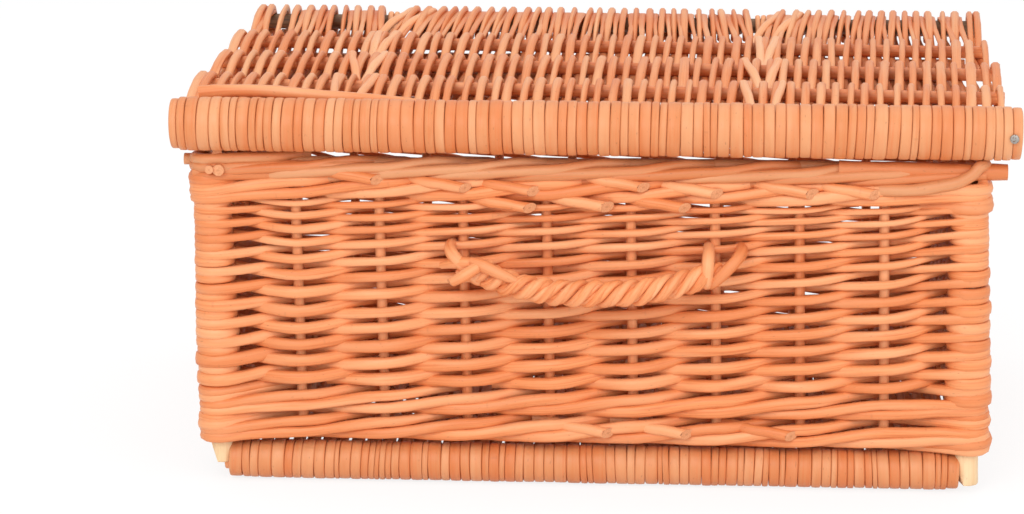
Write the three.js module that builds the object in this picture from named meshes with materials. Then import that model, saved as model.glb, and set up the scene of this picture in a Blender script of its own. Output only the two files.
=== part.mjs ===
// A lidded willow storage basket in millimetres, Z up, front towards -Y.
// Four corner posts and upright stakes stand round a woven base. In each wall one weaver runs to
// and fro and turns round the posts. The woven lid turns on two willow loops at the back, and a
// twisted rope handle hangs in two ties on the front.
import * as THREE from 'three';

// Walls
const bodyWidth = 354; // axis to axis of the left and right posts
const bodyDepth = 246; // axis to axis of the front and back posts
const wallHeight = 127; // foot of the wall weave to its top
const wallRows = 16; // rows of weaver in a wall
const weaverRadius = 2.9;
const postRadius = 5.5;
const postFoot = 5; // height of the posts' lower ends above the floor
const stakeRadius = 2.7;
const frontStakes = 8; // stakes in the front and the back wall, an even number
const sideStakes = 6; // stakes in each end wall, an even number

// Border on top of the walls
const frontBorderHeight = 13;
const endBorderHeight = 16; // the end and back borders stand higher, nearer the lid's mat
const backBorderHeight = 18.6;
const borderDepth = 17;
const borderSetBack = 5; // front and back borders end this far inside the lid sticks' ends
const borderFlank = [0.3, 0.7]; // flat part of a rod's flank, in shares of a layer's height
const borderBulge = 0.25; // depth of the rounding above and below it, in shares of that height

// Base panel
const baseEdgeStickRadius = 5.5;
const baseStrandThickness = 3.7;
const baseInset = 2; // front and back base sticks lie this far inside the posts' axes

// Lid panel
const lidOverhang = 20.5; // the lid sticks run past the posts' axes by this much
const lidFrontStickRadius = 8.4;
const lidBackStickRadius = 4;
const lidStrandThickness = 4.2;
const lidFrontReach = 6.5; // front stick axis ahead of the front posts' axes
const lidBackReach = 13; // back stick axis behind the back posts' axes
const lidMatRise = 4.6; // inner sticks lie this far above the front stick's axis
const stickEnd = 1; // bare end of a lid stick past the outer strands

// Both panels
const innerSticks = 3;
const innerStickRadius = 2.75;
const strandWidth = 5; // in the mat
const strandSpacing = 6.7; // wanted distance between neighbouring strands
const frontWrapShare = 0.92; // width of a wrap, in shares of the spacing of its two strands
const backWrapShare = 0.8;
const frontBend = [135, 180, 225, 270]; // directions in which a wrap's flats face, in degrees

// Ties, hinge loops and handle
const tieThickness = 1.5;
const tieWidth = 4;
const hingeSlot = 11; // the lid strands part by this much at a hinge loop
const hingeSlotReach = 90; // and close up again over this distance to each side
const hingeSpans = [1.5, 6.5]; // hinge places counted in stake spaces from the left post
const handleStakes = [3, 6]; // the stakes beside which the handle is tied
const handleRow = 10; // the handle is tied round this row and the next
const ropeRadius = 5.5;
const ropeSag = 11;
const ropeBow = 12; // the middle of the rope stands this far out from its ends
const ropeFlatness = 2.6; // how evenly the rope hangs along its middle
const ropeRounding = 1.4; // how softly it leaves its ties
const ropeTurns = 5;
const ropeGroove = 1.5; // depth of the groove between the rope's two strands
const ropeEnd = 5; // rope past each tie
const ropeSteps = 32; // rings along the rope
const ropeRingPoints = 8;
const nailRadius = 2.2;
const nailHeight = 1.2;

// Clearances
const gap = 0.3; // between pieces that touch
const ease = 0.5; // between a weaver and what it bends round
const footRoom = 1.3; // between the base's wraps and the foot of the walls

// Flat sides of round pieces
const postSides = 10;
const stakeSides = 6;
const thickStickSides = 12;
const thinStickSides = 8;
const nailSides = 10;

// Levels and positions worked out from the sizes
const baseEdgeRadius = baseEdgeStickRadius + gap + baseStrandThickness;
const wallFoot = 2 * baseEdgeRadius + footRoom;
const wallTop = wallFoot + wallHeight;
const borderFoot = wallTop + gap;
const frontBorderTop = borderFoot + frontBorderHeight;
const backBorderTop = borderFoot + backBorderHeight;
const rowPitch = (wallHeight - 2 * weaverRadius) / (wallRows - 1);
const weaverOffset = stakeRadius + ease + weaverRadius; // weaver axis from the wall's mid plane
const wallFace = weaverOffset + weaverRadius; // outer and inner faces from the wall's mid plane
const lidEdgeRadius = lidFrontStickRadius + gap + lidStrandThickness;
const lidBackRadius = lidBackStickRadius + gap + lidStrandThickness;
const lidFrontAxis = frontBorderTop + gap + lidEdgeRadius;
const lidMatAxis = lidFrontAxis + lidMatRise;
const lidWidth = bodyWidth + 2 * lidOverhang;
const lidFrontY = -bodyDepth / 2 - lidFrontReach;
const lidBackY = bodyDepth / 2 + lidBackReach;
const stakeSpacing = bodyWidth / (frontStakes + 1);
const handleY = -bodyDepth / 2 - wallFace - gap - ropeRadius;
const handleZ = rowHeight(handleRow + 0.5);
const frontReach = -handleY + ropeBow + ropeRadius;
const backReach = lidBackY + lidBackRadius;
const centring = (frontReach - backReach) / 2; // puts the origin under the middle of the basket

const willow = { color: 0xdf9866, roughness: 0.62, metalness: 0 };
const paleWillow = { color: 0xe9bb8c, roughness: 0.6, metalness: 0 };
const barkWillow = { color: 0x7b5537, roughness: 0.75, metalness: 0 };
const steel = { color: 0x9b958c, roughness: 0.4, metalness: 0.9 };

const basket = new THREE.Group();
basket.name = 'willow_storage_basket';

function rowHeight(row) {
  return wallFoot + weaverRadius + row * rowPitch;
}

function addPiece(name, geometry, look) {
  geometry.translate(0, centring, 0);
  const piece = new THREE.Mesh(geometry, new THREE.MeshStandardMaterial(look));
  piece.name = name;
  basket.add(piece);
}

// Signed volume of a closed surface, negative when its faces look inwards.
function signedVolume(points, faces) {
  let sum = 0;
  for (const [a, b, c] of faces) {
    sum += points[a].dot(points[b].clone().cross(points[c]));
  }
  return sum / 6;
}

// A closed skin over a row of rings that have the same number of points.
function skin(rings, closed = false) {
  const size = rings[0].length;
  const points = rings.flat();
  const faces = [];
  const joints = closed ? rings.length : rings.length - 1;
  for (let i = 0; i < joints; i += 1) {
    const here = i * size;
    const next = ((i + 1) % rings.length) * size;
    for (let k = 0; k < size; k += 1) {
      const other = (k + 1) % size;
      faces.push([here + k, next + k, next + other]);
      faces.push([here + k, next + other, here + other]);
    }
  }
  if (!closed) {
    const last = (rings.length - 1) * size;
    for (let k = 1; k < size - 1; k += 1) {
      faces.push([0, k, k + 1]);
      faces.push([last, last + k + 1, last + k]);
    }
  }
  const inward = signedVolume(points, faces) < 0;
  const order = faces.flatMap(([a, b, c]) => (inward ? [a, c, b] : [a, b, c]));
  const geometry = new THREE.BufferGeometry();
  geometry.setAttribute(
    'position',
    new THREE.Float32BufferAttribute(points.flatMap((p) => p.toArray()), 3),
  );
  geometry.setIndex(order);
  geometry.computeVertexNormals();
  return geometry;
}

// Corners of a strand's section, in shares of its half width and half thickness.
const flatSection = [[1, 1], [-1, 1], [-1, -1], [1, -1]];
const roundSection = [[1, 0], [0, 1], [-1, 0], [0, -1]];

// Direction square to a run and to the across direction.
function sideOf(from, to, across) {
  const run = to.clone().sub(from);
  run.addScaledVector(across, -run.dot(across));
  return across.clone().cross(run).normalize();
}

// A strand with mitred corners through stations of point, half width along the across direction
// and half thickness.
function strand(stations, across, section, closed = false) {
  const count = stations.length;
  const sides = stations.map((station, i) => {
    const next = stations[(i + 1) % count];
    return sideOf(station.point, next.point, across);
  });
  const rings = stations.map((station, i) => {
    let before = sides[(i + count - 1) % count];
    let after = sides[i];
    if (!closed && i === 0) before = after;
    if (!closed && i === count - 1) after = before;
    const mitre = before.clone().add(after).divideScalar(1 + before.dot(after));
    return section.map(([a, b]) => station.point.clone()
      .addScaledVector(across, a * station.halfWidth)
      .addScaledVector(mitre, b * station.halfThickness));
  });
  return skin(rings, closed);
}

// Angle at which a line from a point touches a circle, for a path that turns round the circle.
function touchAngle(centre, radius, point, turn, nearAngle) {
  const away = Math.atan2(point.y - centre.y, point.x - centre.x);
  const angle = away + turn * Math.acos(radius / centre.distanceTo(point));
  const fullTurns = Math.round((nearAngle - angle) / (2 * Math.PI));
  return angle + fullTurns * 2 * Math.PI;
}

// Corner points of a path that bends round a circle: it comes from one point, touches the circle
// at the listed angles and leaves to another point.
function bendRound(centre, radius, from, to, degrees, turn) {
  const angles = degrees.map(THREE.MathUtils.degToRad);
  const first = touchAngle(centre, radius, from, turn, angles[0]);
  const last = touchAngle(centre, radius, to, -turn, angles[angles.length - 1]);
  const all = [first, ...angles, last];
  return all.slice(1).map((angle, i) => {
    const middle = (angle + all[i]) / 2;
    const reach = radius / Math.cos((angle - all[i]) / 2);
    return new THREE.Vector2(Math.cos(middle), Math.sin(middle)).multiplyScalar(reach).add(centre);
  });
}

// A round bar between two points.
function bar(from, to, radius, sides) {
  const run = to.clone().sub(from);
  const geometry = new THREE.CylinderGeometry(radius, radius, run.length(), sides);
  const turn = new THREE.Quaternion().setFromUnitVectors(
    new THREE.Vector3(0, 1, 0),
    run.clone().normalize(),
  );
  geometry.applyQuaternion(turn);
  geometry.translate(...from.clone().add(to).multiplyScalar(0.5).toArray());
  return geometry;
}

// Corner posts and stakes
const ends = [['left', -1], ['right', 1]];
const fronts = [['front', -1], ['back', 1]];
for (const [frontName, frontSign] of fronts) {
  for (const [endName, endSign] of ends) {
    const foot = new THREE.Vector3(endSign * bodyWidth / 2, frontSign * bodyDepth / 2, postFoot);
    const head = foot.clone().setZ(wallTop);
    addPiece(`post_${frontName}_${endName}`, bar(foot, head, postRadius, postSides), paleWillow);
  }
}

// The four walls run round the basket, each turned a quarter from the one before.
const longWall = { length: bodyWidth, away: bodyDepth / 2, stakes: frontStakes };
const endWall = { length: bodyDepth, away: bodyWidth / 2, stakes: sideStakes };
const walls = [
  { name: 'front', turn: 0, borderHeight: frontBorderHeight, ...longWall },
  { name: 'right', turn: 90, borderHeight: endBorderHeight, ...endWall },
  { name: 'back', turn: 180, borderHeight: backBorderHeight, ...longWall },
  { name: 'left', turn: 270, borderHeight: endBorderHeight, ...endWall },
];

// Place along a wall of a stake, where the posts are number 0 and the number of stakes plus 1.
function stakePlace(wall, number) {
  return wall.length * (number / (wall.stakes + 1) - 0.5);
}

// Outline in plan of one row with its turn at the far post, as places along and out of the wall.
function rowCorners(wall, row) {
  const goesRight = row % 2 === 0;
  const numbers = Array.from({ length: wall.stakes }, (_, i) => i + 1);
  if (!goesRight) numbers.reverse();
  const corners = numbers.map((number) => {
    const outside = (row + number) % 2 === 1 ? 1 : -1;
    return new THREE.Vector2(stakePlace(wall, number), outside * weaverOffset);
  });
  const arrival = corners[corners.length - 1];
  const departure = new THREE.Vector2(arrival.x, -arrival.y);
  const post = new THREE.Vector2(stakePlace(wall, goesRight ? wall.stakes + 1 : 0), 0);
  const radius = postRadius + ease + weaverRadius;
  const degrees = goesRight ? [45, 0, -45] : [135, 180, 225];
  const bend = bendRound(post, radius, arrival, departure, degrees, goesRight ? -1 : 1);
  const inner = bend[bend.length - 1];
  const climbed = (postRadius + 2 * weaverRadius) * (wall.stakes + 1) / wall.length;
  return { corners, bend, climbPlace: inner.clone().lerp(departure, climbed) };
}

// The weaver of a wall: level rows joined by turns round the posts, each turn held level until it
// is clear of the next wall's weaver and then climbing to the next row.
function wallWeaver(wall) {
  const stations = [];
  const put = (place, row) => stations.push({
    point: new THREE.Vector3(place.x, -wall.away - place.y, rowHeight(row)),
    halfWidth: weaverRadius,
    halfThickness: weaverRadius,
  });
  for (let row = 0; row < wallRows; row += 1) {
    const { corners, bend, climbPlace } = rowCorners(wall, row);
    corners.forEach((place) => put(place, row));
    if (row < wallRows - 1) {
      bend.forEach((place) => put(place, row));
      put(climbPlace, row + 1);
    }
  }
  return strand(stations, new THREE.Vector3(0, 0, 1), roundSection);
}

for (const wall of walls) {
  const turn = THREE.MathUtils.degToRad(wall.turn);
  addPiece(`weave_${wall.name}`, wallWeaver(wall).rotateZ(turn), willow);
  for (let number = 1; number <= wall.stakes; number += 1) {
    const foot = new THREE.Vector3(stakePlace(wall, number), -wall.away, wallFoot);
    const head = foot.clone().setZ(wallTop);
    const stake = bar(foot, head, stakeRadius, stakeSides).rotateZ(turn);
    addPiece(`stake_${wall.name}_${number}`, stake, willow);
  }
}

// Section of a border: two rods side by side in as many layers as asked, with rounded flanks.
function borderShape(height, layers) {
  const half = borderDepth / 2;
  const layer = height / layers;
  const bulge = borderBulge * layer;
  const [flankFrom, flankTo] = borderFlank;
  const shape = new THREE.Shape();
  shape.moveTo(-half + bulge, 0);
  shape.lineTo(half - bulge, 0);
  for (let i = 0; i < layers; i += 1) {
    shape.lineTo(half, (i + flankFrom) * layer);
    shape.lineTo(half, (i + flankTo) * layer);
    shape.lineTo(half - bulge, (i + 1) * layer);
  }
  shape.lineTo(0, height - bulge);
  shape.lineTo(-half + bulge, height);
  for (let i = layers - 1; i >= 0; i -= 1) {
    shape.lineTo(-half, (i + flankTo) * layer);
    shape.lineTo(-half, (i + flankFrom) * layer);
    if (i > 0) shape.lineTo(-half + bulge, i * layer);
  }
  return shape;
}

// A border that runs along X before it is turned into its wall.
function borderBar(length, height, layers) {
  const geometry = new THREE.ExtrudeGeometry(borderShape(height, layers), {
    depth: length,
    bevelEnabled: false,
  });
  geometry.rotateX(Math.PI / 2);
  geometry.rotateZ(Math.PI / 2);
  geometry.translate(-length / 2, 0, borderFoot);
  return geometry;
}

const longBorder = lidWidth - 2 * borderSetBack;
const shortBorder = bodyDepth - borderDepth - 2 * gap;
for (const wall of walls) {
  const isLong = wall.turn % 180 === 0;
  const layers = wall.name === 'back' ? 3 : 2;
  const geometry = borderBar(isLong ? longBorder : shortBorder, wall.borderHeight, layers);
  geometry.translate(0, -wall.away, 0);
  addPiece(`border_${wall.name}`, geometry.rotateZ(THREE.MathUtils.degToRad(wall.turn)), willow);
}

// Sticks of a panel from front to back, in the plane seen from the end.
function panelSticks(front, back, innerZ) {
  const sticks = [{ label: 'front', ...front }];
  for (let i = 1; i <= innerSticks; i += 1) {
    const y = THREE.MathUtils.lerp(front.y, back.y, i / (innerSticks + 1));
    sticks.push({ label: String(i), y, z: innerZ, radius: innerStickRadius });
  }
  sticks.push({ label: 'back', ...back });
  return sticks;
}

// Places of the strands from left to right, in fields of evenly spaced strands.
function strandPlaces(fields) {
  return fields.flatMap(({ from, to, oddCount }) => {
    const pairs = (to - from) / strandSpacing - (oddCount ? 1 : 0);
    const count = 2 * Math.round(pairs / 2) + (oddCount ? 1 : 0);
    const step = (to - from) / count;
    return Array.from({ length: count }, (_, i) => ({ x: from + (i + 0.5) * step, step }));
  });
}

// The strand of a panel goes over and under the sticks, wraps the front stick, comes back the
// other way, wraps the back stick and so on from left to right.
function panelStrand(sticks, places, thickness, frontDegrees, backDegrees, shiftAt) {
  const half = thickness / 2;
  const last = sticks.length - 1;
  const stations = [];
  const beside = (number, side) => {
    const stick = sticks[number];
    const away = side * (stick.radius + gap + half);
    return new THREE.Vector2(stick.y, stick.z + away);
  };
  const put = (place, x, halfWidth) => stations.push({
    point: new THREE.Vector3(x + shiftAt(x, place.x), place.x, place.y),
    halfWidth,
    halfThickness: half,
  });
  const wrap = (number, degrees, here, next) => {
    const stick = sticks[number];
    const isFront = number === 0;
    const inner = isFront ? 1 : last - 1;
    const arrivesBelow = isFront;
    const from = beside(inner, arrivesBelow ? -1 : 1);
    const to = beside(inner, arrivesBelow ? 1 : -1);
    const radius = stick.radius + gap + half;
    const bend = bendRound(new THREE.Vector2(stick.y, stick.z), radius, from, to, degrees, 1);
    const middle = (here.x + next.x) / 2;
    const wide = (isFront ? frontWrapShare : backWrapShare) * (here.step + next.step) / 2;
    bend.forEach((place, i) => {
      if (i === 0) put(place, here.x, strandWidth / 2);
      else if (i === bend.length - 1) put(place, next.x, strandWidth / 2);
      else put(place, middle, wide);
    });
  };
  places.forEach((here, i) => {
    const goesForward = i % 2 === 0;
    const numbers = Array.from({ length: last - 1 }, (_, k) => k + 1);
    if (goesForward) numbers.reverse();
    numbers.forEach((number) => {
      const over = (number % 2 === 0) === goesForward ? 1 : -1;
      put(beside(number, over), here.x, strandWidth / 2);
    });
    if (i < places.length - 1) {
      wrap(goesForward ? 0 : last, goesForward ? frontDegrees : backDegrees, here, places[i + 1]);
    }
  });
  return strand(stations, new THREE.Vector3(1, 0, 0), flatSection);
}

function addSticks(prefix, sticks, halfLength, lookOf) {
  for (const { label, y, z, radius } of sticks) {
    const left = new THREE.Vector3(-halfLength, y, z);
    const right = new THREE.Vector3(halfLength, y, z);
    const sides = radius > postRadius ? thickStickSides : thinStickSides;
    addPiece(`${prefix}_${label}`, bar(left, right, radius, sides), lookOf(label));
  }
}

// Base panel between the posts, standing on flats along its front and back wraps.
const baseStickY = bodyDepth / 2 - baseInset;
const baseSticks = panelSticks(
  { y: -baseStickY, z: baseEdgeRadius, radius: baseEdgeStickRadius },
  { y: baseStickY, z: baseEdgeRadius, radius: baseEdgeStickRadius },
  baseEdgeRadius,
);
const baseHalfWidth = bodyWidth / 2 - postRadius - gap;
addSticks('base_stick', baseSticks, baseHalfWidth, () => willow);
const basePlaces = strandPlaces([{ from: -baseHalfWidth, to: baseHalfWidth, oddCount: false }]);
const baseWeave = panelStrand(
  baseSticks,
  basePlaces,
  baseStrandThickness,
  frontBend,
  [-90, -45, 0, 45],
  () => 0,
);
addPiece('base_weave', baseWeave, willow);

// Lid panel, whose strands part round each hinge loop at the back stick.
const lidSticks = panelSticks(
  { y: lidFrontY, z: lidFrontAxis, radius: lidFrontStickRadius },
  { y: lidBackY, z: lidMatAxis, radius: lidBackStickRadius },
  lidMatAxis,
);
addSticks('lid_stick', lidSticks, lidWidth / 2, (label) => (label === 'back' ? barkWillow : willow));
const hingePlaces = hingeSpans.map((span) => span * stakeSpacing - bodyWidth / 2);
const strandsEnd = lidWidth / 2 - stickEnd;
const lidPlaces = strandPlaces([
  { from: -strandsEnd, to: hingePlaces[0], oddCount: true },
  { from: hingePlaces[0], to: hingePlaces[1], oddCount: false },
  { from: hingePlaces[1], to: strandsEnd, oddCount: true },
]);
const slotDepth = lidSticks[innerSticks].y;

// Sideways shift of a lid strand near the back stick, away from the hinge loops.
function hingeShift(x, y) {
  const share = THREE.MathUtils.clamp((y - slotDepth) / (lidBackY - slotDepth), 0, 1);
  return hingePlaces.reduce((shift, place) => {
    const fade = Math.max(0, 1 - Math.abs(x - place) / hingeSlotReach);
    return shift + Math.sign(x - place) * fade * share * hingeSlot / 2;
  }, 0);
}

const lidWeave = panelStrand(
  lidSticks,
  lidPlaces,
  lidStrandThickness,
  frontBend,
  [-45, 0, 45],
  hingeShift,
);
addPiece('lid_weave', lidWeave, willow);

// A nail head on the last wrap at the right end of the front stick.
const lastWrapX = (lidPlaces[lidPlaces.length - 1].x + lidPlaces[lidPlaces.length - 2].x) / 2;
const wrapFace = lidFrontY - lidEdgeRadius - gap;
const nailBack = new THREE.Vector3(lastWrapX, wrapFace, lidFrontAxis);
const nailFront = nailBack.clone().setY(wrapFace - nailHeight);
addPiece('lid_nail', bar(nailBack, nailFront, nailRadius, nailSides), steel);

// A flat willow tie that lies in the plane seen from the end.
function tieLoop(x, corners) {
  const stations = corners.map((corner) => ({
    point: new THREE.Vector3(x, corner.x, corner.y),
    halfWidth: tieWidth / 2,
    halfThickness: tieThickness / 2,
  }));
  return strand(stations, new THREE.Vector3(1, 0, 0), flatSection, true);
}

// Hinge loops go under the top row and the back border and over the lid's back stick.
const tieHalf = tieThickness / 2;
const insideBack = bodyDepth / 2 - Math.max(wallFace, borderDepth / 2) - gap - tieHalf;
const outsideBack = bodyDepth / 2 + Math.max(wallFace, borderDepth / 2) + gap + tieHalf;
const underTopRow = rowHeight(wallRows - 1.5);
const overBorder = backBorderTop + gap + tieHalf;
const innerFoot = new THREE.Vector2(insideBack, underTopRow);
const innerHead = new THREE.Vector2(insideBack, overBorder);
const outerFoot = new THREE.Vector2(outsideBack, underTopRow);
const hingeBend = bendRound(
  new THREE.Vector2(lidBackY, lidMatAxis),
  lidBackStickRadius + ease + tieHalf,
  innerHead,
  outerFoot,
  [90, 45, 0],
  -1,
);
ends.forEach(([endName], i) => {
  const loop = tieLoop(hingePlaces[i], [innerFoot, innerHead, ...hingeBend, outerFoot]);
  addPiece(`hinge_loop_${endName}`, loop, paleWillow);
});

// Handle ties go round two rows of the front wall beside a stake and hold the rope's end.
const tieFront = handleY - ropeRadius - ease - tieHalf;
const tieBack = -bodyDepth / 2 + wallFace + gap + tieHalf;
const tieBeside = stakeRadius + ease + tieWidth / 2;
const handleTiePlaces = handleStakes.map((number, i) => {
  const outward = ends[i][1];
  return stakePlace(walls[0], number) + outward * tieBeside;
});
ends.forEach(([endName], i) => {
  const low = handleZ - rowPitch;
  const high = handleZ + rowPitch;
  const corners = [[tieFront, low], [tieFront, high], [tieBack, high], [tieBack, low]];
  const loop = tieLoop(handleTiePlaces[i], corners.map(([y, z]) => new THREE.Vector2(y, z)));
  addPiece(`handle_tie_${endName}`, loop, paleWillow);
});

// Twisted two-strand rope from tie to tie, straight in the ties and hanging out in the middle.
function ropeHandle() {
  const [leftTie, rightTie] = handleTiePlaces;
  const middle = (leftTie + rightTie) / 2;
  const straight = (rightTie - leftTie) / 2 - tieWidth;
  const reach = (rightTie - leftTie) / 2 + tieWidth / 2 + ropeEnd;
  const axisPoint = (x) => {
    const away = Math.min(1, Math.abs(x) / straight);
    const share = (1 - away ** ropeFlatness) ** ropeRounding;
    return new THREE.Vector3(middle + x, handleY - ropeBow * share, handleZ - ropeSag * share);
  };
  const rings = Array.from({ length: ropeSteps + 1 }, (_, i) => {
    const x = reach * (2 * i / ropeSteps - 1);
    const centre = axisPoint(x);
    const along = axisPoint(x + gap).sub(axisPoint(x - gap)).normalize();
    const outward = new THREE.Vector3(0, -1, 0);
    outward.addScaledVector(along, -outward.dot(along)).normalize();
    const upward = along.clone().cross(outward);
    const twist = 2 * Math.PI * ropeTurns * i / ropeSteps;
    const groove = Math.abs(x) < straight ? ropeGroove : 0;
    return Array.from({ length: ropeRingPoints }, (__, k) => {
      const angle = 2 * Math.PI * k / ropeRingPoints;
      const lobe = ropeRadius - groove * (1 - Math.cos(2 * angle)) / 2;
      return centre.clone()
        .addScaledVector(outward, lobe * Math.cos(angle + twist))
        .addScaledVector(upward, lobe * Math.sin(angle + twist));
    });
  });
  return skin(rings);
}
addPiece('handle_rope', ropeHandle(), willow);

export default basket;
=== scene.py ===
import math
import random

import bmesh
import bpy
import numpy as np
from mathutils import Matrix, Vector


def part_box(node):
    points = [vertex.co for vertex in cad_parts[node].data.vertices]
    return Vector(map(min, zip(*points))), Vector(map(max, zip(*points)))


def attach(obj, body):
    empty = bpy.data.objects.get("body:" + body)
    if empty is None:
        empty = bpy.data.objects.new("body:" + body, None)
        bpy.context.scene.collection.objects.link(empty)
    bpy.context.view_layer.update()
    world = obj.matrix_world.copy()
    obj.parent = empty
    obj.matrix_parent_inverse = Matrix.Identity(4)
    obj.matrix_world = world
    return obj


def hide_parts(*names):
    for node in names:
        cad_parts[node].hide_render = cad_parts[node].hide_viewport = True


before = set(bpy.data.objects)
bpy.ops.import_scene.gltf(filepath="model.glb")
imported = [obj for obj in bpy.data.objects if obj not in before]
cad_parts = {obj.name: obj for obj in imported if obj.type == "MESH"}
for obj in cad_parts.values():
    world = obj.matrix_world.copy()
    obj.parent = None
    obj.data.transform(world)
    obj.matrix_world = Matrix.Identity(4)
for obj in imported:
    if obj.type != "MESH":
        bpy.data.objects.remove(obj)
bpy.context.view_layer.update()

bl_info = {
    "name": "Willow storage basket",
    "version": (1, 0, 0),
    "blender": (4, 5, 0),
    "location": "3D View > Sidebar > Basket",
    "description": "Weaves a lidded willow storage basket round its solid model",
    "category": "Add Mesh",
}

MM = 0.001
# Edges bent by more than this stay sharp
SHARP_ANGLE = math.radians(52)


def middle(node):
    """Middle of a node's box in millimetres."""
    low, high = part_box(node)
    return np.array((low + high) / 2) / MM


def extent(node):
    """Lowest and highest corner of a node's box in millimetres."""
    low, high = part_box(node)
    return np.array(low) / MM, np.array(high) / MM


# Places taken from the solid model, in millimetres
FRONT_LEFT = middle("post_front_left")
BACK_RIGHT = middle("post_back_right")
BODY_WIDTH = BACK_RIGHT[0] - FRONT_LEFT[0]
BODY_DEPTH = BACK_RIGHT[1] - FRONT_LEFT[1]
CENTRE_Y = (BACK_RIGHT[1] + FRONT_LEFT[1]) / 2
POST_RADIUS = (extent("post_front_left")[1] - extent("post_front_left")[0])[0] / 2
STAKE_RADIUS = (extent("stake_front_1")[1] - extent("stake_front_1")[0])[0] / 2
WALL_FOOT = extent("stake_front_1")[0][2]
WALL_TOP = extent("stake_front_1")[1][2]
WALLS = (
    {"name": "front", "turn": 0, "length": BODY_WIDTH, "away": BODY_DEPTH / 2, "stakes": 8},
    {"name": "right", "turn": 90, "length": BODY_DEPTH, "away": BODY_WIDTH / 2, "stakes": 6},
    {"name": "back", "turn": 180, "length": BODY_WIDTH, "away": BODY_DEPTH / 2, "stakes": 8},
    {"name": "left", "turn": 270, "length": BODY_DEPTH, "away": BODY_WIDTH / 2, "stakes": 6},
)


class WillowSizes(bpy.types.PropertyGroup):
    """Sizes of the rods and strands."""

    rand_foot: bpy.props.FloatProperty(
        name="Rand foot", description="Start of the open weave above the foot of the walls",
        default=28.5 * MM, unit="LENGTH")
    rand_top: bpy.props.FloatProperty(
        name="Rand top", description="End of the open weave above the foot of the walls",
        default=116.5 * MM, unit="LENGTH")
    rand_rows: bpy.props.IntProperty(
        name="Rand rows", description="Rods that cross a stake, in front and behind together",
        default=23, min=4)
    rod_foot: bpy.props.FloatProperty(
        name="Rod at the foot", description="Radius of the wall rods at the foot of the rand",
        default=3.0 * MM, unit="LENGTH")
    rod_middle: bpy.props.FloatProperty(
        name="Rod half way up", description="Radius of the wall rods half way up the rand",
        default=2.6 * MM, unit="LENGTH")
    rod_top: bpy.props.FloatProperty(
        name="Rod at the top", description="Radius of the wall rods at the top of the rand",
        default=1.62 * MM, unit="LENGTH")
    wale_rod: bpy.props.FloatProperty(
        name="Wale rod", description="Radius of the rods of the wales",
        default=2.75 * MM, unit="LENGTH")
    border_rod: bpy.props.FloatProperty(
        name="Border rod", description="Radius of the rods of the border",
        default=2.7 * MM, unit="LENGTH")
    lid_pairs: bpy.props.IntProperty(
        name="Lid pairs", description="Pairs of strands in the lid's mat", default=55, min=4)
    lid_wraps: bpy.props.IntProperty(
        name="Lid wraps", description="Wraps round the lid's front stick", default=82, min=4)
    base_pairs: bpy.props.IntProperty(
        name="Base pairs", description="Pairs of strands in the base", default=46, min=4)
    base_wraps: bpy.props.IntProperty(
        name="Base wraps", description="Wraps round the front and back sticks of the base",
        default=78, min=4)
    strand: bpy.props.FloatProperty(
        name="Strand", description="Mean half width of a strand of the mats",
        default=2.5 * MM, unit="LENGTH")


class WillowColours(bpy.types.PropertyGroup):
    """Colours of the willow and the nail."""

    buff: bpy.props.FloatVectorProperty(
        name="Buff willow", description="Colour of the wall rods and mats",
        subtype="COLOR", size=3, default=(0.84, 0.30, 0.108), min=0, max=1)
    buff_deep: bpy.props.FloatVectorProperty(
        name="Buff willow, deep", description="Colour of the dark streaks in the buff willow",
        subtype="COLOR", size=3, default=(0.68, 0.19, 0.056), min=0, max=1)
    buff_pale: bpy.props.FloatVectorProperty(
        name="Buff willow, pale", description="Colour of the light stretches of the buff willow",
        subtype="COLOR", size=3, default=(0.87, 0.405, 0.19), min=0, max=1)
    peeled: bpy.props.FloatVectorProperty(
        name="Peeled willow", description="Colour of the posts' feet",
        subtype="COLOR", size=3, default=(0.86, 0.60, 0.33), min=0, max=1)
    bark: bpy.props.FloatVectorProperty(
        name="Bark", description="Colour of the lid's back stick",
        subtype="COLOR", size=3, default=(0.20, 0.105, 0.05), min=0, max=1)
    steel: bpy.props.FloatVectorProperty(
        name="Nail steel", description="Colour of the nail head",
        subtype="COLOR", size=3, default=(0.42, 0.39, 0.36), min=0, max=1)


class StageSettings(bpy.types.PropertyGroup):
    """Camera and light of the stage."""

    camera_place: bpy.props.FloatVectorProperty(
        name="Camera place", description="Where the camera stands", subtype="TRANSLATION",
        size=3, default=(0.0640, -1.7152, 0.4872))
    camera_turn: bpy.props.FloatVectorProperty(
        name="Camera turn", description="Pitch, roll and heading of the camera", subtype="EULER",
        size=3, default=(math.radians(76.76), 0.0, math.radians(3.66)))
    lens: bpy.props.FloatProperty(
        name="Lens", description="Focal length in millimetres on a 36 millimetre sensor", default=123.1)
    key: bpy.props.FloatProperty(
        name="Key light", description="Power of the large light above the front", default=16.4)
    sky: bpy.props.FloatProperty(
        name="Sky", description="Strength of the even light from all sides", default=0.82)


# Waves of a rod's uneven thickness: length in millimetres and share
KNOB_WAVES = ((5.9, 1.0), (2.3, 0.6))
# Angles between which these waves start
WAVE_STARTS = (0, 6.28)
# Places, in metres along the grain, between which rods start
GRAIN_STARTS = (0, 5)
# Direction in which a slanting cut end is longest
SLANT_WAY = np.array((0.0, 1.0, 0.25))


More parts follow.
